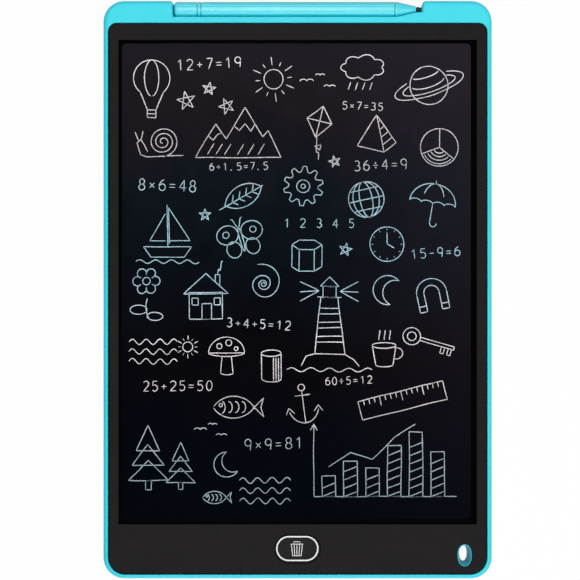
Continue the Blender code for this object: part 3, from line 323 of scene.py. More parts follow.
# %% Set the lamps and the world
WORLD_FROM_ABOVE = 0.29
WORLD_FROM_BELOW = 0.15
HORIZON_BAND = 0.2
LAMPS = (
    ("strip_lamp", (-0.03, -0.05, 1.90), (0.14, 2.10), 17.5, (-0.03, 0.02, 0)),
    ("right_lamp", (1.25, -0.60, 1.60), (0.9, 0.9), 6.5, (0, 0, 0)),
    ("foot_lamp", (0.35, -1.75, 1.05), (1.4, 0.7), 13.0, (0, 0, 0)),
    ("head_lamp", (0.15, 1.80, 1.05), (1.4, 0.7), 7.0, (0, 0, 0)),
    ("back_lamp", (0.30, -0.50, -2.00), (1.2, 1.2), 26.0, (0, 0, 0)),
)

for name, place, size, power, aim in LAMPS:
    lamp = bpy.data.lights.new(name, "AREA")
    lamp.shape = "RECTANGLE"
    lamp.size, lamp.size_y = size
    lamp.energy = power
    stand = bpy.data.objects.new(name, lamp)
    stand.location = place
    stand.rotation_euler = (Vector(aim) - Vector(place)).to_track_quat("-Z", "Y").to_euler()
    bpy.context.scene.collection.objects.link(stand)

world = bpy.data.worlds.new("studio")
world.use_nodes = True
sky = world.node_tree
direction = add_node(sky, "ShaderNodeTexCoord").outputs["Generated"]
height = add_node(sky, "ShaderNodeSeparateXYZ", {0: direction}).outputs["Z"]
light = spread(sky, height, -HORIZON_BAND, HORIZON_BAND, WORLD_FROM_BELOW, WORLD_FROM_ABOVE)
level = add_node(sky, "ShaderNodeMix", {"Factor": seen_ray(sky), "A": light, "B": 1.0}, data_type="FLOAT")
sky.nodes["Background"].inputs["Color"].default_value = (1, 1, 1, 1)
sky.links.new(level.outputs["Result"], sky.nodes["Background"].inputs["Strength"])
bpy.context.scene.world = world
print("lamps:", ", ".join(name for name, *_ in LAMPS))

# %% [markdown]
# ## Outlines
# Nearly every piece of this tablet is a flat outline with some height: case, bezel, button, door. One function
# gives the points of an arc, and a rectangle with corner arcs draws most outlines. The arcs have many points
# here, because they are seen close up. The same arc later draws lines on the screen.

# %% Draw outlines
SHARPEST_MITRE = 0.3


def arc(centre, halves, first, last, steps=None):
    """Points along an ellipse between two angles in degrees, one for each ten if no steps are given."""
    steps = steps or max(4, int(abs(last - first) / 10))
    points = []
    for step in range(steps + 1):
        angle = math.radians(first + (last - first) * step / steps)
        points.append((centre[0] + halves[0] * math.cos(angle), centre[1] + halves[1] * math.sin(angle)))
    return points


def rounded_outline(low, high, corners, steps=16):
    """A rectangle with corner arcs, counter-clockwise: lower right, upper right, upper left, lower left."""
    centres = (
        (high[0] - corners[0], low[1] + corners[0]),
        (high[0] - corners[1], high[1] - corners[1]),
        (low[0] + corners[2], high[1] - corners[2]),
        (low[0] + corners[3], low[1] + corners[3]),
    )
    points = []
    for quarter, (centre, radius) in enumerate(zip(centres, corners)):
        points += arc(centre, (radius, radius), 90 * quarter - 90, 90 * quarter, steps)
    return points


def even_outline(low, high, corner, steps=16):
    return rounded_outline(low, high, (corner,) * 4, steps)


def rectangle(low, high):
    return [(low[0], low[1]), (high[0], low[1]), (high[0], high[1]), (low[0], high[1])]


def stadium(centre, length, width, steps=48):
    """Two half circles, right and left, with straight sides between them."""
    points = []
    for side, first in ((1, -90), (-1, 90)):
        end = (centre[0] + side * (length - width) / 2, centre[1])
        points += arc(end, (width / 2, width / 2), first, first + 180, steps)
    return points


def circle(centre, radius, steps=48):
    return arc(centre, (radius, radius), 0, 360, steps)[:-1]


def parallel(outline, distances):
    """Moves a counter-clockwise outline outward, by one distance or by one for each point."""
    if not hasattr(distances, "__len__"):
        distances = [distances] * len(outline)
    moved = []
    for index, point in enumerate(outline):
        here = Vector(point)
        arriving = (here - Vector(outline[index - 1])).normalized()
        leaving = (Vector(outline[(index + 1) % len(outline)]) - here).normalized()
        along = (arriving + leaving).normalized()
        outward = Vector((along.y, -along.x))
        mitre = max(SHARPEST_MITRE, outward.dot(Vector((leaving.y, -leaving.x))))
        moved.append(here + outward * distances[index] / mitre)
    return moved


print("points round the case:", len(even_outline((-1, -1), (1, 1), 0.1)))

# %% [markdown]
# ## Solids from level rings
# A moulded edge is never sharp. A bevel on a finished cut often fails where many small edges meet. It is safer
# to build the rounding in: a solid is a stack of level rings, and the rings near a rim step inward along a
# quarter circle. A cutter does the opposite. Its rings step outward at its mouth, so the hole that it leaves
# has a soft rim. Its last ring lies just past the face, since a Boolean dislikes faces that only touch.

# %% Stack rings into solids
def new_piece(name, body):
    mesh = bpy.data.meshes.new(name)
    body.to_mesh(mesh)
    body.free()
    piece = bpy.data.objects.new(name, mesh)
    bpy.context.scene.collection.objects.link(piece)
    return piece


def stacked(name, rings, facets=False):
    """A closed solid through (height, outline) rings of equally many points, lowest first."""
    body = bmesh.new()
    loops = [[body.verts.new((x, y, height)) for x, y in outline] for height, outline in rings]
    count = len(loops[0])
    for lower, upper in zip(loops, loops[1:]):
        for here in range(count):
            there = (here + 1) % count
            body.faces.new((lower[here], lower[there], upper[there], upper[here]))
    body.faces.new(list(reversed(loops[0])))
    body.faces.new(loops[-1])
    if facets:
        bmesh.ops.triangulate(body, faces=body.faces[:])
    return new_piece(name, body)


def quarter_turns(steps=5):
    return [step / steps * math.pi / 2 for step in range(steps + 1)]


def rim_levels(low, high, low_round=0.0, high_round=0.0):
    """(height, shift) levels of a solid, with each rim rounded by its radius."""
    levels = []
    for turn in quarter_turns() if low_round else [math.pi / 2]:
        levels.append((low + low_round * (1 - math.cos(turn)), low_round * (math.sin(turn) - 1)))
    for turn in quarter_turns() if high_round else [0.0]:
        levels.append((high - high_round * (1 - math.sin(turn)), high_round * (math.cos(turn) - 1)))
    return levels


def mouth_levels(low, high, low_rim=None, high_rim=None):
    """(height, shift) levels of a cutter. It opens through a face where a rim is given, and ends in it if not."""
    levels = [(low, 0.0)]
    if low_rim is not None:
        levels = [(low - OVERRUN, low_rim)]
        for turn in quarter_turns() if low_rim else []:
            height = low - FACE_BREAK + low_rim * (1 - math.cos(turn))
            levels.append((height, low_rim * (1 - math.sin(turn))))
    if high_rim is None:
        return [*levels, (high, 0.0)]
    for turn in quarter_turns() if high_rim else []:
        height = high + FACE_BREAK - high_rim * (1 - math.sin(turn))
        levels.append((height, high_rim * (1 - math.cos(turn))))
    return [*levels, (high + OVERRUN, high_rim)]


def layered(name, outline, levels, facets=False):
    return stacked(name, [(height, parallel(outline, shift)) for height, shift in levels], facets)


def prism(name, outline, low, high):
    return stacked(name, [(low, outline), (high, outline)])


def boxes(name, spans):
    """One object of separate boxes, each from its lowest to its highest corner."""
    body = bmesh.new()
    for low, high in spans:
        size = Vector(high) - Vector(low)
        place = Matrix.Translation((Vector(high) + Vector(low)) / 2) @ Matrix.Diagonal((*size, 1))
        bmesh.ops.create_cube(body, size=1, matrix=place)
    return new_piece(name, body)


print("a rounded rim has", len(quarter_turns()), "rings")

# %% [markdown]
# ## Turned solids
# The pen, the cell and the screws are turned. The Screw modifier would do, but a lathe in eight lines gives
# clean poles and closed ends, and the result needs no clean-up before it is cut.

# %% Turn a profile
def turned(name, profile, stand, steps=96):
    """A closed shape from (radius, height) points, turned round its stand's Z. Its ends lie on the axis."""
    body = bmesh.new()
    rings = []
    for radius, height in profile:
        if radius == 0:
            rings.append([body.verts.new((0, 0, height))] * steps)
        else:
            rings.append([body.verts.new((x, y, height)) for x, y in circle((0, 0), radius, steps)])
    for first, second in zip(rings, rings[1:]):
        for here in range(steps):
            there = (here + 1) % steps
            corners = (first[here], first[there], second[there], second[here])
            body.faces.new(list(dict.fromkeys(corners)))
    bmesh.ops.recalc_face_normals(body, faces=body.faces)
    bmesh.ops.transform(body, matrix=stand, verts=body.verts)
    return new_piece(name, body)


def rounded_corner(radius, height, size, across, along, steps=4):
    """Points that round a profile's corner. Across and along are +1 or -1, towards the two sides it joins."""
    centre = (radius + across * size, height + along * size)
    return arc(centre, (-across * size, -along * size), 0, 90, steps)


print("lathe ready")

# %% [markdown]
# ## Joining and cutting
# Union and difference work like clay: the case is a block, then ribs are added and holes are cut. Each step is
# applied at once, so a later cut works on a plain mesh. At the end the mesh is shaded: curves smooth, creases
# sharp, and the Weighted Normal modifier keeps the flats truly flat beside their roundings.

# %% Define the workshop steps
def combine(piece, tool, operation):
    """Cuts or joins, keeps the result as the piece's own mesh, and removes the tool."""
    step = piece.modifiers.new("step", "BOOLEAN")
    step.operation = operation
    step.solver = "EXACT"
    step.object = tool
    graph = bpy.context.evaluated_depsgraph_get()
    made = bpy.data.meshes.new_from_object(piece.evaluated_get(graph))
    piece.modifiers.clear()
    piece.data = made
    bpy.data.objects.remove(tool)


def carve(piece, tool):
    combine(piece, tool, "DIFFERENCE")


def attach(piece, tool):
    combine(piece, tool, "UNION")


def settle(piece, crease=35.0):
    """Cleans the mesh and shades it: smooth curves, sharp creases, flat flats."""
    body = bmesh.new()
    body.from_mesh(piece.data)
    bmesh.ops.remove_doubles(body, verts=body.verts, dist=WELD)
    bmesh.ops.dissolve_degenerate(body, dist=WELD, edges=body.edges)
    body.to_mesh(piece.data)
    body.free()
    piece.data.shade_smooth()
    piece.data.set_sharp_from_angle(angle=math.radians(crease))
    flats = piece.modifiers.new("flats", "WEIGHTED_NORMAL")
    flats.keep_sharp = True
    return piece


def fit(piece, body, finish, slot, *nodes):
    """Gives a piece its finish, sets it on its body, and lets it stand for its solids. The slot is not used."""
    piece.data.materials.clear()
    piece.data.materials.append(finish)
    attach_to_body(piece, body)
    if nodes:
        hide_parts(*nodes)
    print(piece.name, "stands for", ", ".join(nodes) or "itself", "with", len(piece.data.polygons), "faces")
    return piece


# %% [markdown]
# ## Case plastic
# The shell is moulded in a bright cyan with a satin skin. Its colour is in the plastic, so it shows no brush
# marks, only a faint drift from the melt and the etched grain. The gloss drifts more than the colour does.

# %% Mix the case plastic
CASE_CYAN = (0.051, 0.715, 0.835)
CASE_CYAN_DEEP = (0.045, 0.685, 0.805)

case_plastic = new_finish("case_plastic", CASE_CYAN, 0.5, gloss=0.25)
drift_tint(case_plastic, 0.03, CASE_CYAN_DEEP, CASE_CYAN)
drift_gloss(case_plastic, 0.004, 0.44, 0.56)
add_grain(case_plastic, 0.012, 0.00002)
add_grain(case_plastic, 0.00035, 0.000003)
print("mixed", case_plastic.name)

# %% [markdown]
# ## The shell of the case
# The case is a tray: a block with rounded rims, and a pocket for the bezel and the screen. The lip round the
# pocket is the cyan frame that the photograph shows. Its outer rim and the back's are rounded by about two and a
# half millimetres, so that the tablet is easy to pick up from a table, and its inner rim by much less.

# %% Form the block and the pocket
CASE_CORNER = 0.0104
REAR_FILLET = 0.0024
LIP_FILLET = 0.0026
LIP_INNER_ROUND = 0.00060
BACK_WALL = 0.0013
POCKET_CORNERS = (0.0084, 0.0044, 0.0044, 0.0084)

block = even_outline((-half_width, -half_length), (half_width, half_length), CASE_CORNER)
case_shell = layered("case_shell", block, rim_levels(0, lip_top, REAR_FILLET, LIP_FILLET))
pocket = rounded_outline(pocket_low, pocket_high, POCKET_CORNERS)
carve(case_shell, layered("pocket", pocket, mouth_levels(BACK_WALL, lip_top, None, LIP_INNER_ROUND)))
print("tray faces:", len(case_shell.data.polygons))

# %% [markdown]
# ## Ribs
# Long ribs under the screen keep the thin back from drumming, and lower cross ribs tie them. They can't be seen
# on the closed tablet. They are still there, because the shell is a piece that may be looked at by itself.

# %% Raise the ribs
RIB_WIDTH = 0.0012
RIB_SIDE_MARGIN = 0.0083
RIB_HEAD_MARGIN = 0.0073
RIB_FOOT_MARGIN = 0.0320
RIB_COLUMNS = 4
RIB_ROWS = 5

rib_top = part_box("backing_board")[0].z - GAP
rib_low = (pocket_low[0] + RIB_SIDE_MARGIN, pocket_low[1] + RIB_FOOT_MARGIN)
rib_high = (pocket_high[0] - RIB_SIDE_MARGIN, pocket_high[1] - RIB_HEAD_MARGIN)
half_rib = RIB_WIDTH / 2
long_ribs = []
for column in range(RIB_COLUMNS + 1):
    x = rib_low[0] + (rib_high[0] - rib_low[0]) * column / RIB_COLUMNS
    corner = (x + half_rib, rib_high[1], rib_top)
    long_ribs.append(((x - half_rib, rib_low[1], BACK_WALL - EMBED), corner))
attach(case_shell, boxes("long_ribs", long_ribs))
cross_ribs = []
for row in range(RIB_ROWS):
    y = rib_low[1] + (rib_high[1] - rib_low[1]) * (row + 0.5) / RIB_ROWS
    corner = (rib_high[0] + RIB_WIDTH, y + half_rib, rib_top - EMBED)
    cross_ribs.append(((rib_low[0] - RIB_WIDTH, y - half_rib, BACK_WALL - EMBED), corner))
attach(case_shell, boxes("cross_ribs", cross_ribs))
print("ribs:", len(long_ribs), "long,", len(cross_ribs), "across")

# %% [markdown]
# ## The battery bay
# A coin cell lies in a round cup behind a door in the back. The door sinks into a recess with a soft rim. The
# cup, its floor and the screw's boss are joined to the tray first, and then the recess and the bores are cut
# through all of them at once, so that the walls stay even.

# %% Build the battery bay
CUP_WALL = 0.0011
BAY_FLOOR = 0.0010
BAY_MARGIN = 0.0015
DOOR_CORNER = 0.0020
DOOR_RIM = 0.0003
DOOR_SCREW_SHANK_RADIUS = 0.0008
DOOR_BOSS_WALL = 0.0014
CUP_STEPS = 64
BORE_STEPS = 96

door_low, door_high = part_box("battery_door")
cell_low, cell_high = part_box("coin_cell")
door_screw_low, door_screw_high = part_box("battery_door_screw")
cell_centre = middle_of("coin_cell")
screw_centre = middle_of("battery_door_screw")
cell_radius = (cell_high.x - cell_low.x) / 2
bore_radius = cell_radius + GAP
bay_top = cell_low.z + BAY_FLOOR
boss_radius = DOOR_SCREW_SHANK_RADIUS + GAP + DOOR_BOSS_WALL
screw_hole_top = door_screw_high.z + GAP

recess = even_outline((door_low.x - GAP, door_low.y - GAP), (door_high.x + GAP, door_high.y + GAP), DOOR_CORNER)
attach(case_shell, prism("bay_floor", parallel(recess, BAY_MARGIN), BACK_WALL - EMBED, bay_top))
cup = circle(cell_centre, bore_radius + CUP_WALL, CUP_STEPS)
attach(case_shell, prism("cell_cup", cup, BACK_WALL, cell_high.z))
attach(case_shell, prism("door_boss", circle(screw_centre, boss_radius), BACK_WALL, screw_hole_top + EMBED))
carve(case_shell, layered("door_recess", recess, mouth_levels(0, cell_low.z, DOOR_RIM, None)))
bore = circle(cell_centre, bore_radius, BORE_STEPS)
carve(case_shell, layered("cell_bore", bore, mouth_levels(cell_low.z, cell_high.z, 0.0, 0.0)))
shank_hole = circle(screw_centre, DOOR_SCREW_SHANK_RADIUS + GAP)
carve(case_shell, layered("screw_hole", shank_hole, mouth_levels(0, screw_hole_top, 0.0, None)))
print("cell bore", round(2000 * bore_radius, 1), "mm across")

# %% [markdown]
# ## Board mounts, lock slot and snap slots
# The circuit board stands on three bosses. The knob of the erase lock looks out through a slot, and small slots
# in the pocket's wall take the bezel's hooks. The slot's rim is rounded on the outside, where a thumb passes.

# %% Add the mounts and cut the slots
BOSS_RADIUS = 0.0022
BOARD_SCREW_SHANK_RADIUS = 0.0007
BOARD_SCREW_FLOOR = 0.0003
BOARD_SCREW_STEPS = 24
LOCK_TRAVEL = 0.0030
KNOB_FLANGE_LAP = 0.0008
SLOT_RIM = 0.0003
HOOK_LENGTH = 0.010
HOOK_HEIGHT = 0.0007
SIDE_HOOK_SHARES = (0.15, 0.5, 0.85)
FOOT_HOOK_SHARES = (0.3, 0.7)
HEAD_HOOK_SHARES = (0.28, 0.5, 0.72)

board_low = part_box("circuit_board")[0]
knob_low, knob_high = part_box("lock_knob")


def hook_spans(reach, clearance):
    """The bezel's snap hooks, or with a clearance the slots that they click into."""
    low = (pocket_low[0] + GAP, pocket_low[1] + GAP)
    high = (pocket_high[0] - GAP, pocket_high[1] - GAP)
    bottom = bezel_low.z - clearance
    top = bezel_low.z + HOOK_HEIGHT + clearance
    half = HOOK_LENGTH / 2 + clearance
    left, right = (low[0] - reach, low[0] + EMBED), (high[0] - EMBED, high[0] + reach)
    foot, head = (low[1] - reach, low[1] + EMBED), (high[1] - EMBED, high[1] + reach)
    spans = []
    for share in SIDE_HOOK_SHARES:
        y = low[1] + (high[1] - low[1]) * share
        spans += [((near, y - half, bottom), (far, y + half, top)) for near, far in (left, right)]
    for (near, far), shares in ((foot, FOOT_HOOK_SHARES), (head, HEAD_HOOK_SHARES)):
        places = [low[0] + (high[0] - low[0]) * share for share in shares]
        spans += [((x - half, near, bottom), (x + half, far, top)) for x in places]
    return spans


for number in (1, 2, 3):
    place = middle_of(f"board_screw_{number}")
    attach(case_shell, prism("boss", circle(place, BOSS_RADIUS), BACK_WALL - EMBED, board_low.z - GAP))
    shank = circle(place, BOARD_SCREW_SHANK_RADIUS + GAP, BOARD_SCREW_STEPS)
    carve(case_shell, layered("boss_hole", shank, mouth_levels(BOARD_SCREW_FLOOR, board_low.z, None, 0.0)))
thumb_inset = (LOCK_TRAVEL + GAP + KNOB_FLANGE_LAP, GAP + KNOB_FLANGE_LAP)
thumb_low = (knob_low.x + thumb_inset[0], knob_low.y + thumb_inset[1])
thumb_high = (knob_high.x - thumb_inset[0], knob_high.y - thumb_inset[1])
slot_high = (thumb_high[0] + GAP + LOCK_TRAVEL, thumb_high[1] + GAP)
slot_outline = rectangle((thumb_low[0] - GAP, thumb_low[1] - GAP), slot_high)
carve(case_shell, layered("lock_slot", slot_outline, mouth_levels(0, BACK_WALL + EMBED, SLOT_RIM, None)))
carve(case_shell, boxes("hook_slots", hook_spans(HOOK_REACH + 2 * GAP, GAP)))
print("slots cut, faces now", len(case_shell.data.polygons))

# %% [markdown]
# ## The strap hole
# A tube goes up through the bezel, a hair proud of it, so the cyan shows as a thin rim. The bore narrows
# towards the back: that taper is what lets the moulding tool out, and it is the teal wall that the photograph
# shows on the right of the hole. The outline is nearly an ellipse, a little squarer, from a power of cosine and
# sine. Little light gets down the tube, so shade is painted into its plastic there.

# %% Raise the strap tube and bore it
STRAP_TUBE_HALVES = (0.00355, 0.00545)
STRAP_MOUTH_HALVES = (0.00305, 0.00495)
STRAP_BACK_HALVES = (0.0018, 0.0038)
STRAP_SHIFT = (-0.0002, 0.0002)
STRAP_RIM = 0.0002
OVAL_POWER = 2.15
STRAP_PAINTED_SHADE = (0.25, 0.50, 0.56)
STRAP_REACH = 1.0
OVAL_STEPS = 72
TUBE_PROUD = 0.0001

strap_low, strap_high = frame["record"]["physics"]["openings"][0]["box_m"]
strap_centre = [(low + high) / 2 + shift for low, high, shift in zip(strap_low, strap_high, STRAP_SHIFT)]


def squarer(value):
    return math.copysign(abs(value) ** (2 / OVAL_POWER), value)


def oval(halves, grow=0.0):
    """The strap hole's outline at these half sizes."""
    reach = [half + grow for half in halves]
    return [
        (strap_centre[0] + reach[0] * squarer(x), strap_centre[1] + reach[1] * squarer(y))
        for x, y in circle((0, 0), 1, OVAL_STEPS)
    ]


def taper(height, shift):
    """The bore's ring at a height, between its back and its mouth."""
    share = min(max(height / lip_top, 0), 1)
    halves = [back + (mouth - back) * share for back, mouth in zip(STRAP_BACK_HALVES, STRAP_MOUTH_HALVES)]
    return height, oval(halves, shift)


tube_top = bezel_top + TUBE_PROUD
attach(case_shell, prism("strap_tube", oval(STRAP_TUBE_HALVES), BACK_WALL - EMBED, tube_top))
bore_levels = mouth_levels(0, tube_top, DOOR_RIM, STRAP_RIM)
carve(case_shell, stacked("strap_bore", [taper(*level) for level in bore_levels], facets=True))
tube_reach = (*[half + GAP for half in STRAP_TUBE_HALVES], STRAP_REACH)
# Painted shade: the case plastic is darkened inside the strap bore.
paint_shade_inside(case_plastic, (*strap_centre, 0), tube_reach, STRAP_PAINTED_SHADE)
print("strap hole at", [round(1000 * value, 1) for value in strap_centre], "mm")

# %% [markdown]
# ## The pen's cradle
# The pen lies in a trough along the top edge, open at the front and on the outer side. Four cutters make it: the
# pen's own shape grown by a gap for the seat, a mouth that follows the pen's outline up to the front, a wide cut
# for the open side, and one below the pen that leaves a ledge under each end. The shoulders at both ends have
# large soft rims, which catch the light in the photograph, while the long wall along the pen has a tight one. So
# each point of the mouth has its own rim. The slot at the cap's end is deep and narrow, so shade is painted into it.

# %% Measure the pen
CAP_EDGE_ROUND = 0.0012
CONE_LENGTH = 0.0091
CONE_END_RADIUS = 0.00155
TIP_RADIUS = 0.0013
SEAT_RISE = 0.0002
CAP_SHOULDER_CORNER = 0.0023
TIP_SHOULDER_CORNER = 0.0022
SHOULDER_RIM = 0.0016
RIM_CHANGE = 0.0015
WALL_CLEARANCE = 0.0001
SLOT_LEAN = 0.0001
SLOT_HALVES = (0.00055, 0.0046, 0.0034)
SLOT_PAINTED_SHADE = (0.1, 0.3, 0.36)
WALL_RIM_SHARE = 0.4
LEDGE_RIM = 0.0003
LEDGE_REACH = 0.0008
LEDGE_THICKNESS = 0.0007
TIP_CLEARANCE = 0.00035

ring_low, ring_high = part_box("pen_ring")
barrel_low, barrel_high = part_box("pen_barrel")
cap_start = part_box("pen_end_cap")[0].x
nose_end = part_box("pen_nose")[1].x
tip_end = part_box("pen_tip")[1].x
cone_start = nose_end - CONE_LENGTH
pen_radius = (ring_high.z - ring_low.z) / 2
pen_y = middle_of("pen_ring")[1]
pen_z = (ring_high.z + ring_low.z) / 2
print("pen", round(1000 * (tip_end - cap_start), 1), "mm long,", round(2000 * pen_radius, 2), "mm thick")

# %% Cut the cradle
SHOULDER_STEPS = 10
SEAT_STEPS = 128


def pen_silhouette(clearance):
    """(x, radius) points from the cap to the tip, grown by a clearance."""
    return (
        (cap_start - clearance, pen_radius + clearance),
        (cone_start, pen_radius + clearance),
        (nose_end, CONE_END_RADIUS + clearance),
        (tip_end + clearance, TIP_RADIUS + clearance),
    )


def shoulder_arc(x, radius, first, last):
    """A shoulder's rounded corner at the head edge, between two angles in degrees."""
    return arc((x, half_length + 5 * FACE_BREAK - radius), (radius, radius), first, last, SHOULDER_STEPS)


left_wall = cap_start - MOUTH_CLEARANCE
right_wall = tip_end + TIP_CLEARANCE
outside = half_length + OVERRUN
left_arc = shoulder_arc(left_wall - CAP_SHOULDER_CORNER, CAP_SHOULDER_CORNER, 90, 0)
right_arc = shoulder_arc(right_wall + TIP_SHOULDER_CORNER, TIP_SHOULDER_CORNER, 180, 90)
wall_y = pen_y - pen_radius - WALL_CLEARANCE
long_wall = [(left_wall, wall_y), (left_wall + RIM_CHANGE, wall_y)]
long_wall += [(min(x, right_wall), pen_y - radius) for x, radius in pen_silhouette(WALL_CLEARANCE)[1:]]
opening = [(left_arc[0][0], outside), *left_arc, *long_wall, *right_arc, (right_arc[-1][0], outside)]
softness = [1.0] * (len(left_arc) + 2) + [WALL_RIM_SHARE] * (len(long_wall) - 2) + [1.0] * (len(right_arc) + 2)
mouth = []
for height, shift in mouth_levels(pen_z + SEAT_RISE, lip_top, None, SHOULDER_RIM):
    mouth.append((height, parallel(opening, [shift * share for share in softness])))
open_side = [(left_wall, pen_y + EMBED), (right_wall, pen_y + EMBED), *right_arc]
open_side += [(right_arc[-1][0], outside), (left_arc[0][0], outside), *left_arc]
under_pen = [(cap_start + LEDGE_REACH, pen_y + EMBED), (tip_end - LEDGE_REACH, pen_y + EMBED)]
under_pen += [(tip_end - LEDGE_REACH, pen_y + TIP_RADIUS), (right_wall, pen_y + TIP_RADIUS), *right_arc]
under_pen += [(right_arc[-1][0], outside), (cap_start + LEDGE_REACH, outside)]
seat_profile = [(radius, x) for x, radius in pen_silhouette(GAP)]
seat_profile = [(0, seat_profile[0][1]), *seat_profile, (0, seat_profile[-1][1])]
along_pen = Matrix.Translation((0, pen_y, pen_z)) @ Matrix.Rotation(math.pi / 2, 4, "Y")

carve(case_shell, turned("pen_seat", seat_profile, along_pen, SEAT_STEPS))
carve(case_shell, stacked("pen_mouth", mouth, facets=True))
open_top = pen_z + 2 * SEAT_RISE
carve(case_shell, prism("open_side", parallel(open_side, -FACE_BREAK), LEDGE_THICKNESS, open_top))
low_levels = mouth_levels(0, LEDGE_THICKNESS + EMBED, LEDGE_RIM, None)
carve(case_shell, layered("under_pen", parallel(under_pen, -2 * FACE_BREAK), low_levels))
# Painted shade: the case plastic is darkened in the deep slot at the cap's end.
slot_middle = (cap_start - MOUTH_CLEARANCE / 2 - SLOT_LEAN, pen_y, pen_z)
paint_shade_inside(case_plastic, slot_middle, SLOT_HALVES, SLOT_PAINTED_SHADE)
print("cradle cut, faces now", len(case_shell.data.polygons))

# %% [markdown]
# ## Finishing the shell
# The two shoulders beside the pen are hollow on the inside, as thick plastic would sink. Then the shell is
# cleaned and shaded, gets its plastic, rides on the case body and stands for the plainer solid.

# %% Hollow the shoulders and fit the shell
SHOULDER_WALL = 0.0015
SHOULDER_OUTER_WALL = 0.0020
HOLLOW_DEPTH = 0.00255

hollow_far = half_width - CASE_CORNER - SHOULDER_WALL
hollow_y = (pocket_high[1] - HOLLOW_DEPTH, half_length - SHOULDER_OUTER_WALL)
hollow_z = (BACK_WALL + EMBED, lip_top - BACK_WALL)
hollows = []
for near, far in ((-hollow_far, left_wall - SHOULDER_WALL), (right_wall + TIP_SHOULDER_CORNER, hollow_far)):
    hollows.append(((near, hollow_y[0], hollow_z[0]), (far, hollow_y[1], hollow_z[1])))
carve(case_shell, boxes("shoulder_hollows", hollows))
fit(settle(case_shell), "case", case_plastic, "case_plastic", "rear_case")

# %% [markdown]
# ## Bezel plastic
# The bezel is charcoal, with a fine matt grain that scatters the lamps. Most of what makes it look grey and not
# black is that scatter, so its own colour is darker than it looks, and its mirror share is low. Shade is painted
# nearly black onto its steep rims, because the gaps beside them are too fine for light to get into.

# %% Mix the bezel plastic
CHARCOAL = (0.0128, 0.0114, 0.0122)
CHARCOAL_DEEP = (0.0116, 0.0104, 0.0110)
RIM_FACING = 0.93
RIM_PAINTED_SHADE = (0.05, 0.25, 0.35)

bezel_plastic = new_finish("bezel_plastic", CHARCOAL, 0.62, gloss=0.05)
drift_tint(bezel_plastic, 0.02, CHARCOAL_DEEP, CHARCOAL)
drift_gloss(bezel_plastic, 0.003, 0.56, 0.68)
add_grain(bezel_plastic, 0.0003, 0.000012)
# Painted shade: faces that are steep darken nearly black, for the gaps beside the rims.
facing = add_node(bezel_plastic.node_tree, "ShaderNodeNewGeometry").outputs["Normal"]
facing_up = add_node(bezel_plastic.node_tree, "ShaderNodeSeparateXYZ", {0: facing}).outputs["Z"]
paint_shade_below(bezel_plastic, facing_up, RIM_FACING, RIM_PAINTED_SHADE)
print("mixed", bezel_plastic.name)

# %% [markdown]
# ## The front bezel
# The bezel is a thin plate with a skirt that goes down into the pocket, and hooks on the skirt that click into
# the case. It has three holes: the window, the button's and the strap tube's. Its outer rim is rounded by half a
# millimetre and its holes by less, so they draw the fine lines that a real moulding shows.

# %% Form the bezel
SKIRT_WALL = 0.0012
BEZEL_THICKNESS = 0.0010
BEZEL_ROUND = 0.00055
HOLE_RIM = 0.0002
BORDER_SIDE = 0.00527
BORDER_HEAD = 0.00852
BORDER_FOOT = 0.02482
BUTTON_FLANGE = 0.0015

window_low = (pocket_low[0] + BORDER_SIDE, pocket_low[1] + BORDER_FOOT)
window_high = (pocket_high[0] - BORDER_SIDE, pocket_high[1] - BORDER_HEAD)
button_low, button_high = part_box("erase_button")
button_centre = middle_of("erase_button")
button_length = button_high.x - button_low.x - 2 * BUTTON_FLANGE
button_width = button_high.y - button_low.y - 2 * BUTTON_FLANGE

plate = rounded_outline(
    (pocket_low[0] + GAP, pocket_low[1] + GAP),
    (pocket_high[0] - GAP, pocket_high[1] - GAP),
    [corner - GAP for corner in POCKET_CORNERS],
)
bezel = layered("bezel_plate", plate, rim_levels(bezel_low.z, bezel_top, 0, BEZEL_ROUND))
under_plate = bezel_top - BEZEL_THICKNESS
carve(bezel, prism("bezel_inside", parallel(plate, -SKIRT_WALL), bezel_low.z - OVERRUN, under_plate))
HOLES = {
    "window": rectangle(window_low, window_high),
    "key_hole": stadium(button_centre, button_length + 2 * GAP, button_width + 2 * GAP),
    "tube_hole": oval(STRAP_TUBE_HALVES, GAP),
}
for name, outline in HOLES.items():
    carve(bezel, layered(name, outline, mouth_levels(under_plate, bezel_top, 0.0, HOLE_RIM)))
attach(bezel, boxes("snap_hooks", hook_spans(HOOK_REACH, 0)))
fit(settle(bezel), "case", bezel_plastic, "bezel_plastic", "front_bezel")

# %% [markdown]
# ## The dark films
# Under the window lies a wide black sheet, which shows as a black rim, and on it the writing film. The film is
# nearly black. Painted light makes it a purple grey near the pen edge, falling to nearly black at the foot, with
# faint clouds, because its liquid layer is never even. A ramp along Y gives the painted fall, a broad noise moves
# it a little, and a painted glow lightens the right side, most towards the head.

# %% Mix the film finishes
FILM_TONES_WITH_PAINTED_LIGHT = (
    (0.00, (0.0005, 0.0012, 0.0034)),
    (0.20, (0.0012, 0.0015, 0.0036)),
    (0.35, (0.0018, 0.0015, 0.0026)),
    (0.55, (0.0026, 0.0042, 0.0072)),
    (0.72, (0.0044, 0.0068, 0.0108)),
    (0.84, (0.0105, 0.0084, 0.0118)),
    (1.00, (0.0135, 0.0112, 0.0158)),
)
FILM_RIGHT_PAINTED_GLOW = (0.0070, 0.0050, 0.0076, 1)
FILM_PAINTED_GLOW_START = 0.55
FILM_PAINTED_GLOW_RISE = (-0.15, 0.55)
CLOUD_DETAIL = 4.0
SOLID_CREASE = 30.0

film_low, film_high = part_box("writing_film")
film_size = film_high - film_low


def film_share(material, axis, first, last):
    """0 at one share of the film's size along an axis, and 1 at another."""
    tree = material.node_tree
    place = add_node(tree, "ShaderNodeSeparateXYZ", {0: place_of(material)}).outputs[axis]
    start, size = film_low["XYZ".index(axis)], film_size["XYZ".index(axis)]
    return spread(tree, place, start + size * first, start + size * last)


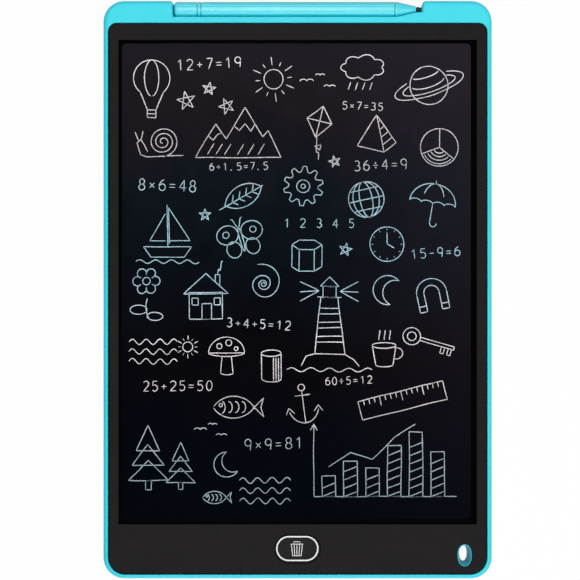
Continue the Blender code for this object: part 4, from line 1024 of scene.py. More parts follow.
def film_height(material, cloud_size, cloud_share):
    """0 at the film's foot and 1 at its head, moved a little by soft clouds."""
    tree = material.node_tree
    clouds = noise_of(material, cloud_size, CLOUD_DETAIL)
    height = calculate(tree, "MULTIPLY_ADD", clouds, cloud_share, film_share(material, "Y", 0, 1))
    return calculate(tree, "SUBTRACT", height, cloud_share / 2)


writing_film = new_finish("writing_film", FILM_TONES_WITH_PAINTED_LIGHT[1][1], 0.4, gloss=0.005)
film_tree = writing_film.node_tree
# Painted light: the tone falls from purple grey at the head to nearly black at the foot.
shade = ramp_of(writing_film, film_height(writing_film, 0.018, 0.3), FILM_TONES_WITH_PAINTED_LIGHT)
# Painted light: a glow added on the film's right side, fading towards the foot.
rightward = film_share(writing_film, "X", FILM_PAINTED_GLOW_START, 1)
upward = film_share(writing_film, "Y", *FILM_PAINTED_GLOW_RISE)
painted_glow = calculate(film_tree, "MULTIPLY", rightward, upward)
feed(writing_film, "Base Color", blend(film_tree, "ADD", painted_glow, shade, FILM_RIGHT_PAINTED_GLOW))
drift_gloss(writing_film, 0.006, 0.34, 0.46)
add_grain(writing_film, 0.0015, 0.000006)

base_film = new_finish("base_film", (0.0006, 0.0006, 0.0007), 0.3, gloss=0.005)
drift_gloss(base_film, 0.005, 0.25, 0.4)
add_grain(base_film, 0.002, 0.000004)


def dress_node(node, finish):
    """Gives a solid that keeps its shape its finish, with smooth curves."""
    piece = frame["nodes"][node]
    piece.data.materials.clear()
    piece.data.materials.append(finish)
    piece.data.shade_smooth()
    piece.data.set_sharp_from_angle(angle=math.radians(SOLID_CREASE))


dress_node("writing_film", writing_film)
dress_node("black_base_film", base_film)
print("film from", round(film_low.y, 4), "to", round(film_high.y, 4))

# %% [markdown]
# ## How a pressed line looks
# Pressing the film turns its liquid layer clear, and a printed rainbow sheet shines through. So a line's colour
# depends on where it is, and not on the pen: teal at the foot, then cream, white, cyan, peach and cream again.
# The lines could be painted in the film's material, but real geometry stays crisp at any distance. Each line is
# a ridge 0.03 mm high whose width and place waver a little, as a hand's do. A fixed seed keeps the waver the
# same in every run.

# %% Mix the line colours and press lines
LINE_COLOURS = (
    (0.00, (0.32, 0.44, 0.49)),
    (0.14, (0.38, 0.49, 0.53)),
    (0.26, (0.78, 0.70, 0.70)),
    (0.38, (0.92, 0.90, 0.94)),
    (0.50, (0.42, 0.66, 0.76)),
    (0.68, (0.42, 0.67, 0.74)),
    (0.78, (0.70, 0.63, 0.64)),
    (0.95, (0.94, 0.90, 0.94)),
)
PRESSURE = ((0.3, (0.6, 0.6, 0.6)), (0.6, (1, 1, 1)))
LINE_WIDTH = 0.00048
LINE_HEIGHT = 0.00003
LINE_STEP = 0.0009
WAVER_SIZE = 0.014
WAVER_REACH = 0.00035
WAVER_SEED = 5
PRESS_SIZE = 0.006
END_WIDTH_SHARE = 0.5
CROWN_SHARE = 0.6

pressed_line = new_finish("pressed_line", (0.8, 0.8, 0.75), 0.6, gloss=0.1)
shade = ramp_of(pressed_line, film_height(pressed_line, 0.012, 0.08), LINE_COLOURS)
pressure = ramp_of(pressed_line, noise_of(pressed_line, 0.003, DRIFT_DETAIL), PRESSURE)
feed(pressed_line, "Base Color", blend(pressed_line.node_tree, "MULTIPLY", 1.0, shade, pressure))
add_grain(pressed_line, 0.0006, 0.00001)
noise.seed_set(WAVER_SEED)


def stepped(points, step):
    """The same line with a point about every step."""
    finer = [Vector(points[0])]
    for first, second in zip(points, points[1:]):
        span = Vector(second) - Vector(first)
        pieces = max(1, round(span.length / step))
        finer += [Vector(first) + span * piece / pieces for piece in range(1, pieces + 1)]
    return finer


def wavered(point):
    """A hand's slow waver: the shift depends on the place alone, so closed shapes stay closed."""
    shift = noise.noise_vector(Vector((point.x, point.y, 0)) / WAVER_SIZE)
    return Vector((point.x + shift.x * WAVER_REACH, point.y + shift.y * WAVER_REACH))


def press_line(body, points, width, low, high, uneven_share=0.3):
    """Adds one ridge along the points to a mesh: low and high are its foot and its crown."""
    rows = []
    for index, here in enumerate(points):
        before = points[max(index - 1, 0)]
        after = points[min(index + 1, len(points) - 1)]
        along = (after - before).normalized()
        across = Vector((-along.y, along.x))
        press = 1 + uneven_share * noise.noise(Vector((here.x, here.y, 1)) / PRESS_SIZE)
        if index in (0, len(points) - 1):
            press *= END_WIDTH_SHARE
        half = across * width / 2 * press
        profile = ((1, low), (CROWN_SHARE, high), (-CROWN_SHARE, high), (-1, low))
        rows.append([body.verts.new((*(here + half * share), height)) for share, height in profile])
    for near, far in zip(rows, rows[1:]):
        for corner in range(4):
            other = (corner + 1) % 4
            body.faces.new((near[corner], near[other], far[other], far[corner]))
    body.faces.new(rows[0])
    body.faces.new(list(reversed(rows[-1])))


print("colours along the film:", len(LINE_COLOURS))

# %% [markdown]
# ## A sketchbook of motifs
# The screen shows a page of small drawings. These are plain things of nature, the sea and geometry. Each is a
# list of strokes in a unit square, and a stroke is a list of points. Curves are arcs, spirals and waves from a
# formula, and straight strokes have only their corners. Numbers are drawn the same way, from a table of signs.

# %% Draw with arcs and bars
WAVE_STEPS = 10


def ring(centre, radius):
    return arc(centre, (radius, radius), 90, 450)


def polar(radius, degrees, centre=(0, 0)):
    """The point at a distance and an angle from a centre."""
    angle = math.radians(degrees)
    return centre[0] + radius * math.cos(angle), centre[1] + radius * math.sin(angle)


def spokes(angles, near, far):
    """Straight strokes outward from the middle, one at each angle."""
    return [[polar(near, angle), polar(far, angle)] for angle in angles]


def curl(centre, count, turn, start, reach):
    """A spiral stroke. Each point is a turn further, at the distance that reach gives for its number."""
    return [polar(reach(step), start + turn * step, centre) for step in range(count)]


def wave(start, end, height, humps):
    """A sine wave stroke between two points."""
    points = []
    count = humps * WAVE_STEPS
    for step in range(count + 1):
        share = step / count
        x, y = (first + (last - first) * share for first, last in zip(start, end))
        points.append((x, y + height * math.sin(share * humps * math.pi)))
    return points


def box_line(low, high):
    return [*rectangle(low, high), low]


def moved(strokes, shift):
    return [[(x + shift[0], y + shift[1]) for x, y in stroke] for stroke in strokes]


def mirrored(strokes):
    """The strokes and their mirror images, left and right."""
    return strokes + [[(-x, y) for x, y in stroke] for stroke in strokes]


print("sketch tools ready")

# %% Sketch the sky
def gull(x, y, half):
    return arc((x - half, y), (half, half / 1.5), 170, 20) + arc((x + half, y), (half, half / 1.5), 160, 10)


def cloud_edge(lobes=3.5, swell=0.14):
    points = []
    for step in range(91):
        angle = math.radians(4 * step)
        rise = swell * abs(math.sin(lobes * angle))
        points.append(((0.78 + rise) * math.cos(angle), (0.4 + rise) * math.sin(angle)))
    return points


SKY = {
    "sun": [ring((0, 0), 0.42), *spokes(range(0, 360, 60), 0.6, 0.8), *spokes(range(30, 360, 60), 0.6, 0.98)],
    "crescent": [arc((0, 0), (0.9, 0.9), 60, 300), arc((0.5, 0), (0.78, 0.78), 92, 268)],
    "star": [[polar(1, 90 + 144 * step) for step in range(6)]],
    "ringed_planet": [
        ring((0, 0), 0.56),
        arc((0, 0), (1.05, 0.3), 125, 415),
        arc((0, 0), (0.8, 0.2), 135, 405),
        arc((0, 0.1), (0.5, 0.16), 190, 350),
        arc((0, 0.34), (0.4, 0.1), 190, 350),
    ],
    "cloud": [cloud_edge(), *([(x, -0.62), (x - 0.12, -0.95)] for x in (-0.5, -0.2, 0.1, 0.4))],
    "gulls": [gull(-0.6, 0.2, 0.175), gull(0.1, 0.5, 0.125), gull(0.6, -0.1, 0.15)],
    "balloon": [
        arc((0, 0.36), (0.62, 0.62), -50, 230),
        arc((0, 0.36), (0.24, 0.62), 100, 262),
        arc((0, 0.36), (0.24, 0.62), 80, -82),
        *mirrored([[(-0.4, -0.12), (-0.15, -0.72)]]),
        box_line((-0.15, -0.98), (0.15, -0.72)),
        [(-0.15, -0.85), (0.15, -0.85)],
    ],
    "kite": [
        [(0, 1), (0.55, 0.35), (0, -0.35), (-0.55, 0.35), (0, 1)],
        [(0, 1), (0, -0.35)],
        [(-0.55, 0.35), (0.55, 0.35)],
        wave((0, -0.35), (0.35, -1.25), 0.12, 3),
        [(0.05, -0.72), (0.3, -0.6), (0.3, -0.84), (0.05, -0.72)],
    ],
}
print("sky:", ", ".join(SKY))

# %% Sketch the land
LAND = {
    "mountains": [
        [(-1, -0.45), (-0.5, 0.35), (-0.25, 0), (0.2, 0.75), (0.62, 0.05), (0.75, 0.2), (1.05, -0.45), (-1, -0.45)],
        [(-0.68, 0.06), (-0.56, -0.04), (-0.46, 0.1), (-0.36, 0.14)],
        [(-0.06, 0.31), (0.06, 0.2), (0.2, 0.36), (0.34, 0.18), (0.44, 0.36)],
        *([(x, -0.38), (x + 0.16, -0.12)] for x in (-0.7, -0.5, -0.3, 0.0, 0.25, 0.5)),
    ],
    "fir_tree": [
        [(-0.09, -1), (-0.09, -0.72), (0.09, -0.72), (0.09, -1), (-0.09, -1)],
        [(-0.62, -0.72), (0, -0.1), (0.62, -0.72), (-0.62, -0.72)],
        [(-0.5, -0.25), (0, 0.4), (0.5, -0.25), (-0.5, -0.25)],
        [(-0.36, 0.2), (0, 1.0), (0.36, 0.2), (-0.36, 0.2)],
    ],
    "leaf": [
        arc((0, -0.55), (1.1, 1.0), 153, 27),
        arc((0, 0.45), (1.1, 1.0), 207, 333),
        [(-1.3, -0.12), (1.05, -0.04)],
        *([(x, -0.08), (x + 0.22, tip)] for x in (-0.6, -0.25, 0.1, 0.45) for tip in (0.22, -0.32)),
    ],
    "flower": [
        ring((0, 0.5), 0.13),
        *(arc(polar(0.31, turn, (0, 0.5)), (0.16, 0.16), turn - 140, turn + 140) for turn in range(0, 360, 60)),
        arc((0.6, -0.4), (0.62, 0.7), 155, 215),
        arc((-0.28, -0.5), (0.3, 0.16), 0, 360),
        arc((0.3, -0.72), (0.28, 0.14), 0, 360),
    ],
    "mushroom": [
        arc((0, 0.1), (0.85, 0.75), 0, 180) + [(0.85, 0.1)],
        arc((0, 0.1), (0.85, 0.16), 180, 360),
        *mirrored([[(-0.22, -0.04), (-0.3, -0.85)]]),
        arc((0, -0.85), (0.3, 0.1), 180, 360),
        ring((-0.35, 0.42), 0.12),
        ring((0.1, 0.58), 0.14),
        ring((0.45, 0.3), 0.09),
    ],
    "snail": [
        curl((0.1, 0.12), 61, 18, math.degrees(-1.6), lambda step: 0.62 * (1 - step / 66)),
        [(0.95, -0.45), (-0.55, -0.5), (-0.8, -0.42), (-0.95, 0.05), (-0.8, 0.2), (-0.66, 0.0), (-0.5, -0.3)],
        [(-0.9, 0.15), (-1.05, 0.5)],
        [(-0.78, 0.2), (-0.72, 0.55)],
    ],
    "house": [
        box_line((-0.6, -0.8), (0.6, 0.15)),
        [(-0.8, 0.1), (0, 0.85), (0.8, 0.1), (-0.8, 0.1)],
        box_line((-0.15, -0.8), (0.2, -0.25)),
        box_line((0.3, -0.3), (0.52, -0.05)),
        box_line((-0.5, -0.3), (-0.28, -0.05)),
        [(0.34, 0.53), (0.34, 0.8), (0.5, 0.8), (0.5, 0.4)],
        wave((0.42, 0.82), (0.6, 1.25), 0.08, 3),
    ],
    "butterfly": [
        arc((0, 0), (0.07, 0.5), 90, 450),
        *(arc((0.52 * side, 0.3), (0.45, 0.4), 0, 360) for side in (-1, 1)),
        *(arc((0.4 * side, -0.36), (0.3, 0.34), 0, 360) for side in (-1, 1)),
        *(ring((0.58 * side, 0.32), 0.13) for side in (-1, 1)),
        *mirrored([[(-0.03, 0.5), (-0.18, 0.9), (-0.26, 0.92)]]),
    ],
}
print("land:", ", ".join(LAND))

# %% Sketch the sea
def tower_band(height):
    """Two level strokes across the lighthouse, which narrows upward."""
    half = 0.32 - 0.14 * (height + 0.75) / 1.2
    return [[(-half, height), (half, height)], [(0.02 - half, height + 0.12), (half - 0.02, height + 0.12)]]


SEA = {
    "sail_boat": [
        [(-0.8, -0.4), (0.8, -0.4), (0.55, -0.75), (-0.55, -0.75), (-0.8, -0.4)],
        [(0.05, -0.3), (0.05, 0.9), (0.75, -0.2), (0.05, -0.2)],
        [(-0.06, -0.2), (-0.6, -0.2), (-0.06, 0.7)],
        wave((-1.05, -0.9), (1.05, -0.9), 0.06, 8),
        [(0, -0.4), (0, 1.0)],
    ],
    "fish": [
        arc((0, -0.35), (0.85, 0.75), 150, 22),
        arc((0, 0.35), (0.85, 0.75), 210, 338),
        [(0.76, 0), (1.1, 0.35), (1.0, 0), (1.1, -0.35), (0.76, 0)],
        *(arc((x, 0), (0.14, 0.2), 90, -90) for x in (-0.2, 0.05, 0.3)),
        ring((-0.48, 0.08), 0.06),
        arc((-0.62, 0), (0.3, 0.3), -50, 50),
    ],
    "shell_spiral": [curl((0, 0), 100, 12, 0, lambda step: 0.06 * math.exp(0.135 * math.radians(12 * step)))],
    "anchor": [
        [(0, 0.62), (0, -0.85)],
        [(-0.35, 0.42), (0.35, 0.42)],
        ring((0, 0.78), 0.15),
        arc((0, -0.1), (0.7, 0.76), 195, 345),
        *mirrored([[(-0.85, -0.42), (-0.68, -0.12), (-0.45, -0.38)]]),
    ],
    "lighthouse": [
        *mirrored([[(-0.32, -0.75), (-0.18, 0.45)]]),
        [(-0.26, 0.45), (0.26, 0.45)],
        *(stroke for height in (-0.5, -0.2, 0.1) for stroke in tower_band(height)),
        box_line((-0.14, 0.45), (0.14, 0.68)),
        [(-0.2, 0.68), (0, 0.88), (0.2, 0.68), (-0.2, 0.68)],
        *mirrored([[(-0.22, 0.58), (-0.62, height)] for height in (0.78, 0.56, 0.36)]),
        [(-0.6, -1), (-0.5, -0.8), (-0.32, -0.75), (0.32, -0.75), (0.5, -0.86), (0.62, -1)],
        wave((-0.9, -1.08), (0.9, -1.08), 0.04, 9),
    ],
    "wave_rows": [wave((-1, y), (1, y), 0.11, 7) for y in (0.4, 0.0, -0.4)],
}
print("sea:", ", ".join(SEA))

# %% Sketch solids, charts and tools
GEAR_TOOTH = ((0.0, 0.68), (0.22, 0.92), (0.5, 0.92), (0.72, 0.68))
BAR_HEIGHTS = (0.3, 0.52, 0.42, 0.75, 0.95, 0.66)


def hexagons():
    """The prism's two end faces, and the four edges between them that can be seen."""
    upper, lower = (arc((0, level), (0.8, 0.28), 0, 360, 6) for level in (0.55, -0.6))
    return [upper, lower[3:], *([upper[corner], lower[corner]] for corner in (0, 3, 4, 5))]


def chart_bar(left, height, foot=-0.45, width=0.2, rung=0.12, lean=0.08):
    """A bar of the chart with slanted rungs."""
    levels = [foot + rung * number for number in range(int(height / rung))]
    rungs = [[(left, level), (left + width, level + lean)] for level in levels]
    return [box_line((left, foot), (left + width, foot + height)), *rungs]


def gear_rim(teeth=10):
    corners = [(number + share, radius) for number in range(teeth) for share, radius in GEAR_TOOTH]
    return [polar(radius, 360 / teeth * turn) for turn, radius in (*corners, corners[0])]


TOOLS = {
    "cylinder": [
        arc((0, 0.7), (0.55, 0.18), 0, 360),
        arc((0, -0.7), (0.55, 0.18), 180, 360),
        *mirrored([[(-0.55, 0.7), (-0.55, -0.7)]]),
        *([(x, 0.45), (x, -0.8)] for x in (0.12, 0.26, 0.4)),
    ],
    "pyramid": [
        [(-0.9, -0.5), (0, 0.9), (0.35, -0.8), (-0.9, -0.5)],
        [(0, 0.9), (0.9, -0.35), (0.35, -0.8)],
        *([(0.35 * t, 0.9 - 1.7 * t), (0.9 * t, 0.9 - 1.25 * t)] for t in (0.2, 0.4, 0.6, 0.8)),
    ],
    "globe": [
        ring((0, 0), 0.85),
        *(arc((0, 0), (half, 0.85), -90, 90) for half in (0.3, 0.62, -0.3, -0.62)),
        *([(-half, y), (half, y)] for half, y in ((0.85, 0), (0.7, 0.48), (0.7, -0.48))),
    ],
    "hex_prism": hexagons(),
    "bar_chart": [
        [(-1, 0.62), (-1, -0.45), (1.1, -0.45)],
        [(-1.05, 0.52), (-1, 0.62), (-0.95, 0.52)],
        *(stroke for number, height in enumerate(BAR_HEIGHTS) for stroke in chart_bar(0.32 * number - 0.88, height)),
        [(-0.78, -0.02), (-0.46, 0.2), (-0.14, 0.1), (0.18, 0.42), (0.5, 0.62)],
    ],
    "pie_chart": [
        ring((0, 0), 0.8),
        *spokes((90, 200, 320), 0, 0.8),
        *(arc((0, 0), (radius, radius), 206, 314) for radius in (0.25, 0.4, 0.55, 0.7)),
    ],
    "gear": [gear_rim(), ring((0, 0), 0.3), ring((0, 0), 0.1)],
    "clock": [ring((0, 0), 0.85), [(0, 0), (0, 0.58)], [(0, 0), (0.36, -0.2)], *spokes(range(0, 360, 30), 0.68, 0.78)],
    "ruler": [
        box_line((-1, -0.22), (1, 0.22)),
        *([(number / 8 - 1, 0.22), (number / 8 - 1, 0.1 if number % 4 else 0.0)] for number in range(1, 16)),
    ],
    "magnet": [
        arc((0, 0.2), (0.75, 0.7), 0, 180),
        arc((0, 0.2), (0.38, 0.36), 0, 180),
        *([(x, 0.2), (x, -0.7)] for x in (-0.75, -0.38, 0.38, 0.75)),
        *([(x, y), (x + 0.37, y)] for x in (-0.75, 0.38) for y in (-0.7, -0.42)),
    ],
    "umbrella": [
        arc((0, 0), (0.95, 0.85), 0, 180),
        [(0, 0.85), (0, 1.0)],
        [(0, 0), (0, -0.75)],
        *(arc((x, 0), (0.2375, 0.12), 0, 180) for x in (-0.7125, -0.2375, 0.2375, 0.7125)),
        arc((0, 0), (0.45, 0.85), 25, 155),
        arc((0.14, -0.75), (0.14, 0.16), 180, 360),
    ],
    "cup": [
        arc((-0.1, 0.3), (0.55, 0.13), 0, 360),
        [(-0.65, 0.3), (-0.5, -0.6)],
        [(0.45, 0.3), (0.3, -0.6)],
        arc((-0.1, -0.6), (0.4, 0.1), 180, 360),
        arc((0.46, -0.08), (0.3, 0.26), 110, -110),
        *(wave((x, 0.55), (x + 0.05, 1.0), 0.07, 2) for x in (-0.35, -0.1, 0.15)),
    ],
    "key": [
        ring((-0.65, 0), 0.32),
        ring((-0.65, 0), 0.16),
        [(-0.33, 0.06), (0.95, 0.06), (0.95, -0.06), (-0.33, -0.06)],
        *([(x, -0.06), (x, -0.3), (x + 0.12, -0.3), (x + 0.12, -0.06)] for x in (0.5, 0.75)),
    ],
}
MOTIFS = {**SKY, **LAND, **SEA, **TOOLS}
print("solids and tools:", ", ".join(TOOLS))

# %% Write plain numbers
DIGIT_WIDTH = 0.62
DIGIT_PITCH = 0.92
DIGITS = {
    "0": [arc((0.3, 0.5), (0.28, 0.5), 90, 450)],
    "1": [[(0.1, 0.76), (0.34, 1), (0.34, 0)]],
    "2": [arc((0.3, 0.72), (0.27, 0.28), 160, -35) + [(0.02, 0), (0.6, 0)]],
    "3": [arc((0.27, 0.75), (0.25, 0.25), 140, -90), arc((0.27, 0.26), (0.3, 0.26), 90, -140)],
    "4": [[(0.44, 0), (0.44, 1), (0.02, 0.32), (0.62, 0.32)]],
    "5": [[(0.56, 1), (0.12, 1), (0.07, 0.56)], arc((0.28, 0.31), (0.29, 0.31), 125, -140)],
    "6": [arc((0.62, 0.32), (0.6, 0.68), 105, 180), arc((0.31, 0.3), (0.28, 0.3), 180, 540)],
    "7": [[(0.03, 1), (0.6, 1), (0.2, 0)]],
    "8": [arc((0.3, 0.76), (0.22, 0.24), 270, 630), arc((0.3, 0.26), (0.27, 0.26), 90, 450)],
    "9": [arc((0.3, 0.7), (0.27, 0.3), 0, 360), [(0.57, 0.7), (0.48, 0)]],
    "+": [[(0.05, 0.45), (0.55, 0.45)], [(0.3, 0.2), (0.3, 0.7)]],
    "-": [[(0.05, 0.45), (0.55, 0.45)]],
    "x": [[(0.08, 0.22), (0.52, 0.68)], [(0.52, 0.22), (0.08, 0.68)]],
    "=": [[(0.03, 0.58), (0.57, 0.58)], [(0.03, 0.32), (0.57, 0.32)]],
    ":": [[(0.05, 0.45), (0.55, 0.45)], ring((0.3, 0.68), 0.03), ring((0.3, 0.22), 0.03)],
    ".": [ring((0.15, 0.03), 0.03)],
    " ": [],
}


def numbers(text):
    """A sum in plain numbers, one unit high and centred."""
    strokes = []
    for index, sign in enumerate(text):
        strokes += moved(DIGITS[sign], (DIGIT_PITCH * index, 0))
    width = DIGIT_PITCH * (len(text) - 1) + DIGIT_WIDTH
    return moved(strokes, (-width / 2, -0.5))


print("signs:", "".join(DIGITS))

# %% [markdown]
# ## The page
# The table sets each drawing on the film: its place as shares of the film's width and height, its size as a
# share of the width, and its tilt in degrees. The density and the sizes are like those of the photograph, and
# the motifs and the layout are the lesson's own.

# %% Lay out the page
PAGE = (
    ("balloon", 0.085, 0.905, 0.084, 0),
    ("12+7=19", 0.250, 0.958, 0.030, 3),
    ("star", 0.185, 0.880, 0.028, 10),
    ("star", 0.250, 0.905, 0.020, -8),
    ("star", 0.300, 0.868, 0.024, 24),
    ("sun", 0.435, 0.925, 0.066, 6),
    ("gulls", 0.562, 0.912, 0.055, 0),
    ("cloud", 0.690, 0.950, 0.068, 0),
    ("ringed_planet", 0.880, 0.912, 0.098, 18),
    ("5x7=35", 0.690, 0.868, 0.022, -2),
    ("mountains", 0.330, 0.800, 0.120, 0),
    ("snail", 0.110, 0.788, 0.070, 0),
    ("kite", 0.560, 0.820, 0.068, -14),
    ("pyramid", 0.730, 0.808, 0.062, 0),
    ("pie_chart", 0.910, 0.782, 0.068, 0),
    ("8x6=48", 0.130, 0.702, 0.032, -2),
    ("6+1.5=7.5", 0.335, 0.742, 0.021, 1),
    ("leaf", 0.345, 0.682, 0.062, 28),
    ("gear", 0.520, 0.700, 0.062, 0),
    ("star", 0.610, 0.752, 0.018, 14),
    ("36:4=9", 0.742, 0.745, 0.029, 2),
    ("globe", 0.700, 0.672, 0.060, 12),
    ("umbrella", 0.890, 0.662, 0.070, -10),
    ("sail_boat", 0.130, 0.598, 0.086, 0),
    ("star", 0.238, 0.640, 0.018, 0),
    ("butterfly", 0.342, 0.588, 0.068, 14),
    ("1 2 3 4 5", 0.565, 0.622, 0.025, 0),
    ("hex_prism", 0.530, 0.555, 0.054, 0),
    ("star", 0.640, 0.566, 0.020, -12),
    ("clock", 0.760, 0.578, 0.058, 0),
    ("15-9=6", 0.900, 0.560, 0.027, 4),
    ("flower", 0.070, 0.470, 0.082, 0),
    ("house", 0.240, 0.468, 0.080, 0),
    ("shell_spiral", 0.405, 0.495, 0.060, 0),
    ("lighthouse", 0.595, 0.422, 0.136, 0),
    ("magnet", 0.890, 0.468, 0.058, 12),
    ("crescent", 0.762, 0.482, 0.046, -20),
    ("wave_rows", 0.090, 0.352, 0.070, 0),
    ("sun", 0.190, 0.362, 0.034, 0),
    ("mushroom", 0.300, 0.345, 0.060, 0),
    ("3+4+5=12", 0.392, 0.410, 0.026, -3),
    ("cylinder", 0.428, 0.322, 0.052, 0),
    ("key", 0.880, 0.374, 0.078, -16),
    ("cup", 0.758, 0.352, 0.062, 0),
    ("25+25=50", 0.160, 0.280, 0.028, 0),
    ("fish", 0.320, 0.235, 0.078, 0),
    ("anchor", 0.520, 0.242, 0.062, 8),
    ("60:5=12", 0.650, 0.292, 0.022, 2),
    ("ruler", 0.805, 0.250, 0.125, 14),
    ("fir_tree", 0.075, 0.130, 0.092, 0),
    ("fir_tree", 0.168, 0.112, 0.068, 0),
    ("gulls", 0.255, 0.180, 0.050, 0),
    ("crescent", 0.300, 0.115, 0.040, 30),
    ("fish", 0.265, 0.046, 0.044, 0),
    ("9x9=81", 0.435, 0.158, 0.032, 2),
    ("wave_rows", 0.410, 0.060, 0.074, 0),
    ("bar_chart", 0.745, 0.112, 0.195, 0),
)

page = bmesh.new()
drawn = 0
for motif, across, up, size, tilt in PAGE:
    strokes = MOTIFS[motif] if motif in MOTIFS else numbers(motif)
    turn = Matrix.Rotation(math.radians(tilt), 2)
    place = Vector((film_low.x + film_size[0] * across, film_low.y + film_size[1] * up))
    for stroke in strokes:
        points = [place + turn @ Vector(point) * size * film_size[0] for point in stroke]
        line = [wavered(point) for point in stepped(points, LINE_STEP)]
        press_line(page, line, LINE_WIDTH, film_high.z - LINE_HEIGHT / 3, film_high.z + LINE_HEIGHT)
        drawn += 1
bmesh.ops.recalc_face_normals(page, faces=page.faces)
drawings = new_piece("pressed_drawings", page)
fit(drawings, "case", pressed_line, "writing_film")
print("lines pressed:", drawn)

# %% [markdown]
# ## The erase button
# The button is an oval key with a flange under the bezel, which keeps it in, and a stem down to the switch. Its
# ring and its waste bin are printed in white. A print is 0.03 mm of ink, so both are thin raised pieces that
# ride with the key. The ring is a closed band, and the bin is made with the same press as the drawn lines.

# %% Form the key
BUTTON_EDGE = 0.0003
BUTTON_FLANGE_THICKNESS = 0.0004
BUTTON_STEM_RADIUS = 0.0020

flange_top = under_plate - GAP
flange_low = flange_top - BUTTON_FLANGE_THICKNESS
key_outline = stadium(button_centre, button_length, button_width)
button = layered("erase_key", key_outline, rim_levels(flange_low + EMBED, button_high.z, 0, BUTTON_EDGE))
flange_outline = stadium(button_centre, button_length + 2 * BUTTON_FLANGE, button_width + 2 * BUTTON_FLANGE)
attach(button, prism("key_flange", flange_outline, flange_low, flange_top))
attach(button, prism("key_stem", circle(button_centre, BUTTON_STEM_RADIUS), button_low.z, flange_top))
button_plastic = new_finish("button_plastic", CHARCOAL, 0.5, gloss=0.05)
drift_tint(button_plastic, 0.01, CHARCOAL_DEEP, CHARCOAL)
drift_gloss(button_plastic, 0.002, 0.40, 0.52)
add_grain(button_plastic, 0.0003, 0.000008)
fit(settle(button), "erase_key", button_plastic, "button_plastic", "erase_button")

# %% Print the ring and the waste bin
INK_HEIGHT = 0.00003
RING_LENGTH = 0.0208
RING_BREADTH = 0.0123
RING_SHIFT = (-0.00015, 0.00028)
RING_WIDTH = 0.00064
BIN_SHIFT = (-0.00035, 0.00037)
BIN_LINE = 0.00042
BIN_LID_HALF = 0.0032
BIN_TOP_HALF = 0.0027
BIN_FOOT_HALF = 0.0021
BIN_LID_Y = 0.0021
BIN_FOOT_Y = -0.0036
BIN_HANDLE_HALF = 0.0016
BIN_HANDLE_Y = 0.0033
BIN_BAR_SHARES = (-0.5, 0.0, 0.5)

white_ink = new_finish("white_ink", (0.88, 0.88, 0.87), 0.5, gloss=0.3)
drift_tint(white_ink, 0.001, (0.82, 0.82, 0.81), (0.90, 0.90, 0.89))
add_grain(white_ink, 0.0002, 0.000006)

ink_foot = button_high.z - INK_HEIGHT
ink_top = button_high.z + INK_HEIGHT
ring_centre = [middle + shift for middle, shift in zip(button_centre, RING_SHIFT)]
ring_outline = stadium(ring_centre, RING_LENGTH, RING_BREADTH)
band = bmesh.new()
band_rings = []
for shift, height in ((0, ink_foot), (0, ink_top), (-RING_WIDTH, ink_top), (-RING_WIDTH, ink_foot)):
    band_rings.append([band.verts.new((x, y, height)) for x, y in parallel(ring_outline, shift)])
for outer, inner in zip(band_rings, band_rings[1:] + band_rings[:1]):
    for here in range(len(ring_outline)):
        there = (here + 1) % len(ring_outline)
        band.faces.new((outer[here], outer[there], inner[there], inner[here]))
bmesh.ops.recalc_face_normals(band, faces=band.faces)
fit(new_piece("button_ring_print", band), "erase_key", white_ink, "button_plastic")

bin_lines = [
    [(-BIN_LID_HALF, BIN_LID_Y), (BIN_LID_HALF, BIN_LID_Y)],
    [(-BIN_TOP_HALF, BIN_LID_Y), (-BIN_FOOT_HALF, BIN_FOOT_Y), (BIN_FOOT_HALF, BIN_FOOT_Y), (BIN_TOP_HALF, BIN_LID_Y)],
    *mirrored([[(-BIN_HANDLE_HALF, BIN_LID_Y), (-BIN_HANDLE_HALF, BIN_HANDLE_Y)]]),
    [(-BIN_HANDLE_HALF, BIN_HANDLE_Y), (BIN_HANDLE_HALF, BIN_HANDLE_Y)],
    *([(BIN_TOP_HALF * share, BIN_LID_Y), (BIN_FOOT_HALF * share, BIN_FOOT_Y)] for share in BIN_BAR_SHARES),
]
bin_shift = [middle + shift for middle, shift in zip(button_centre, BIN_SHIFT)]
sign = bmesh.new()
for stroke in moved(bin_lines, bin_shift):
    press_line(sign, stepped(stroke, LINE_STEP), BIN_LINE, ink_foot, ink_top, 0.0)
bmesh.ops.recalc_face_normals(sign, faces=sign.faces)
fit(new_piece("waste_bin_print", sign), "erase_key", white_ink, "button_plastic")

# %% [markdown]
# ## The pen
# The pen is a hollow barrel with a ring, an end cap, a nose and a hard tip, all pushed together on spigots. Its
# plastic is a touch deeper than the case's, with a higher gloss. The joints show as fine lines, since each piece
# has its own rounded edge there, so the pieces are turned one by one and not as one stick with painted lines.

# %% Turn the pen's pieces
PEN_CYAN = (0.040, 0.66, 0.765)
PEN_CYAN_DEEP = (0.036, 0.635, 0.74)
PEN_EDGE = 0.00018
BARREL_BORE = 0.0024
SPIGOT_LENGTH = 0.0050
TIP_STEM_RADIUS = 0.0007
TIP_STEM_LENGTH = 0.0040
TIP_END_RADIUS = 0.00105
TIP_ROUND = 0.0006
TIP_STEPS = 6
CAP_STEPS = 8
SOFT_CREASE = 50.0

pen_plastic = new_finish("pen_plastic", PEN_CYAN, 0.3, gloss=0.75)
drift_tint(pen_plastic, 0.02, PEN_CYAN_DEEP, PEN_CYAN)
drift_gloss(pen_plastic, 0.003, 0.27, 0.34)
add_grain(pen_plastic, 0.010, 0.00002)
add_grain(pen_plastic, 0.0006, 0.000002)
tip_plastic = new_finish("tip_plastic", (0.006, 0.006, 0.007), 0.45, gloss=0.3)
drift_gloss(tip_plastic, 0.001, 0.38, 0.55)
add_grain(tip_plastic, 0.0003, 0.000006)

spigot = BARREL_BORE - GAP
cap_end = ring_low.x - GAP
nose_start = barrel_high.x + GAP
tip_start = nose_end + GAP
stem_floor = nose_end - TIP_STEM_LENGTH


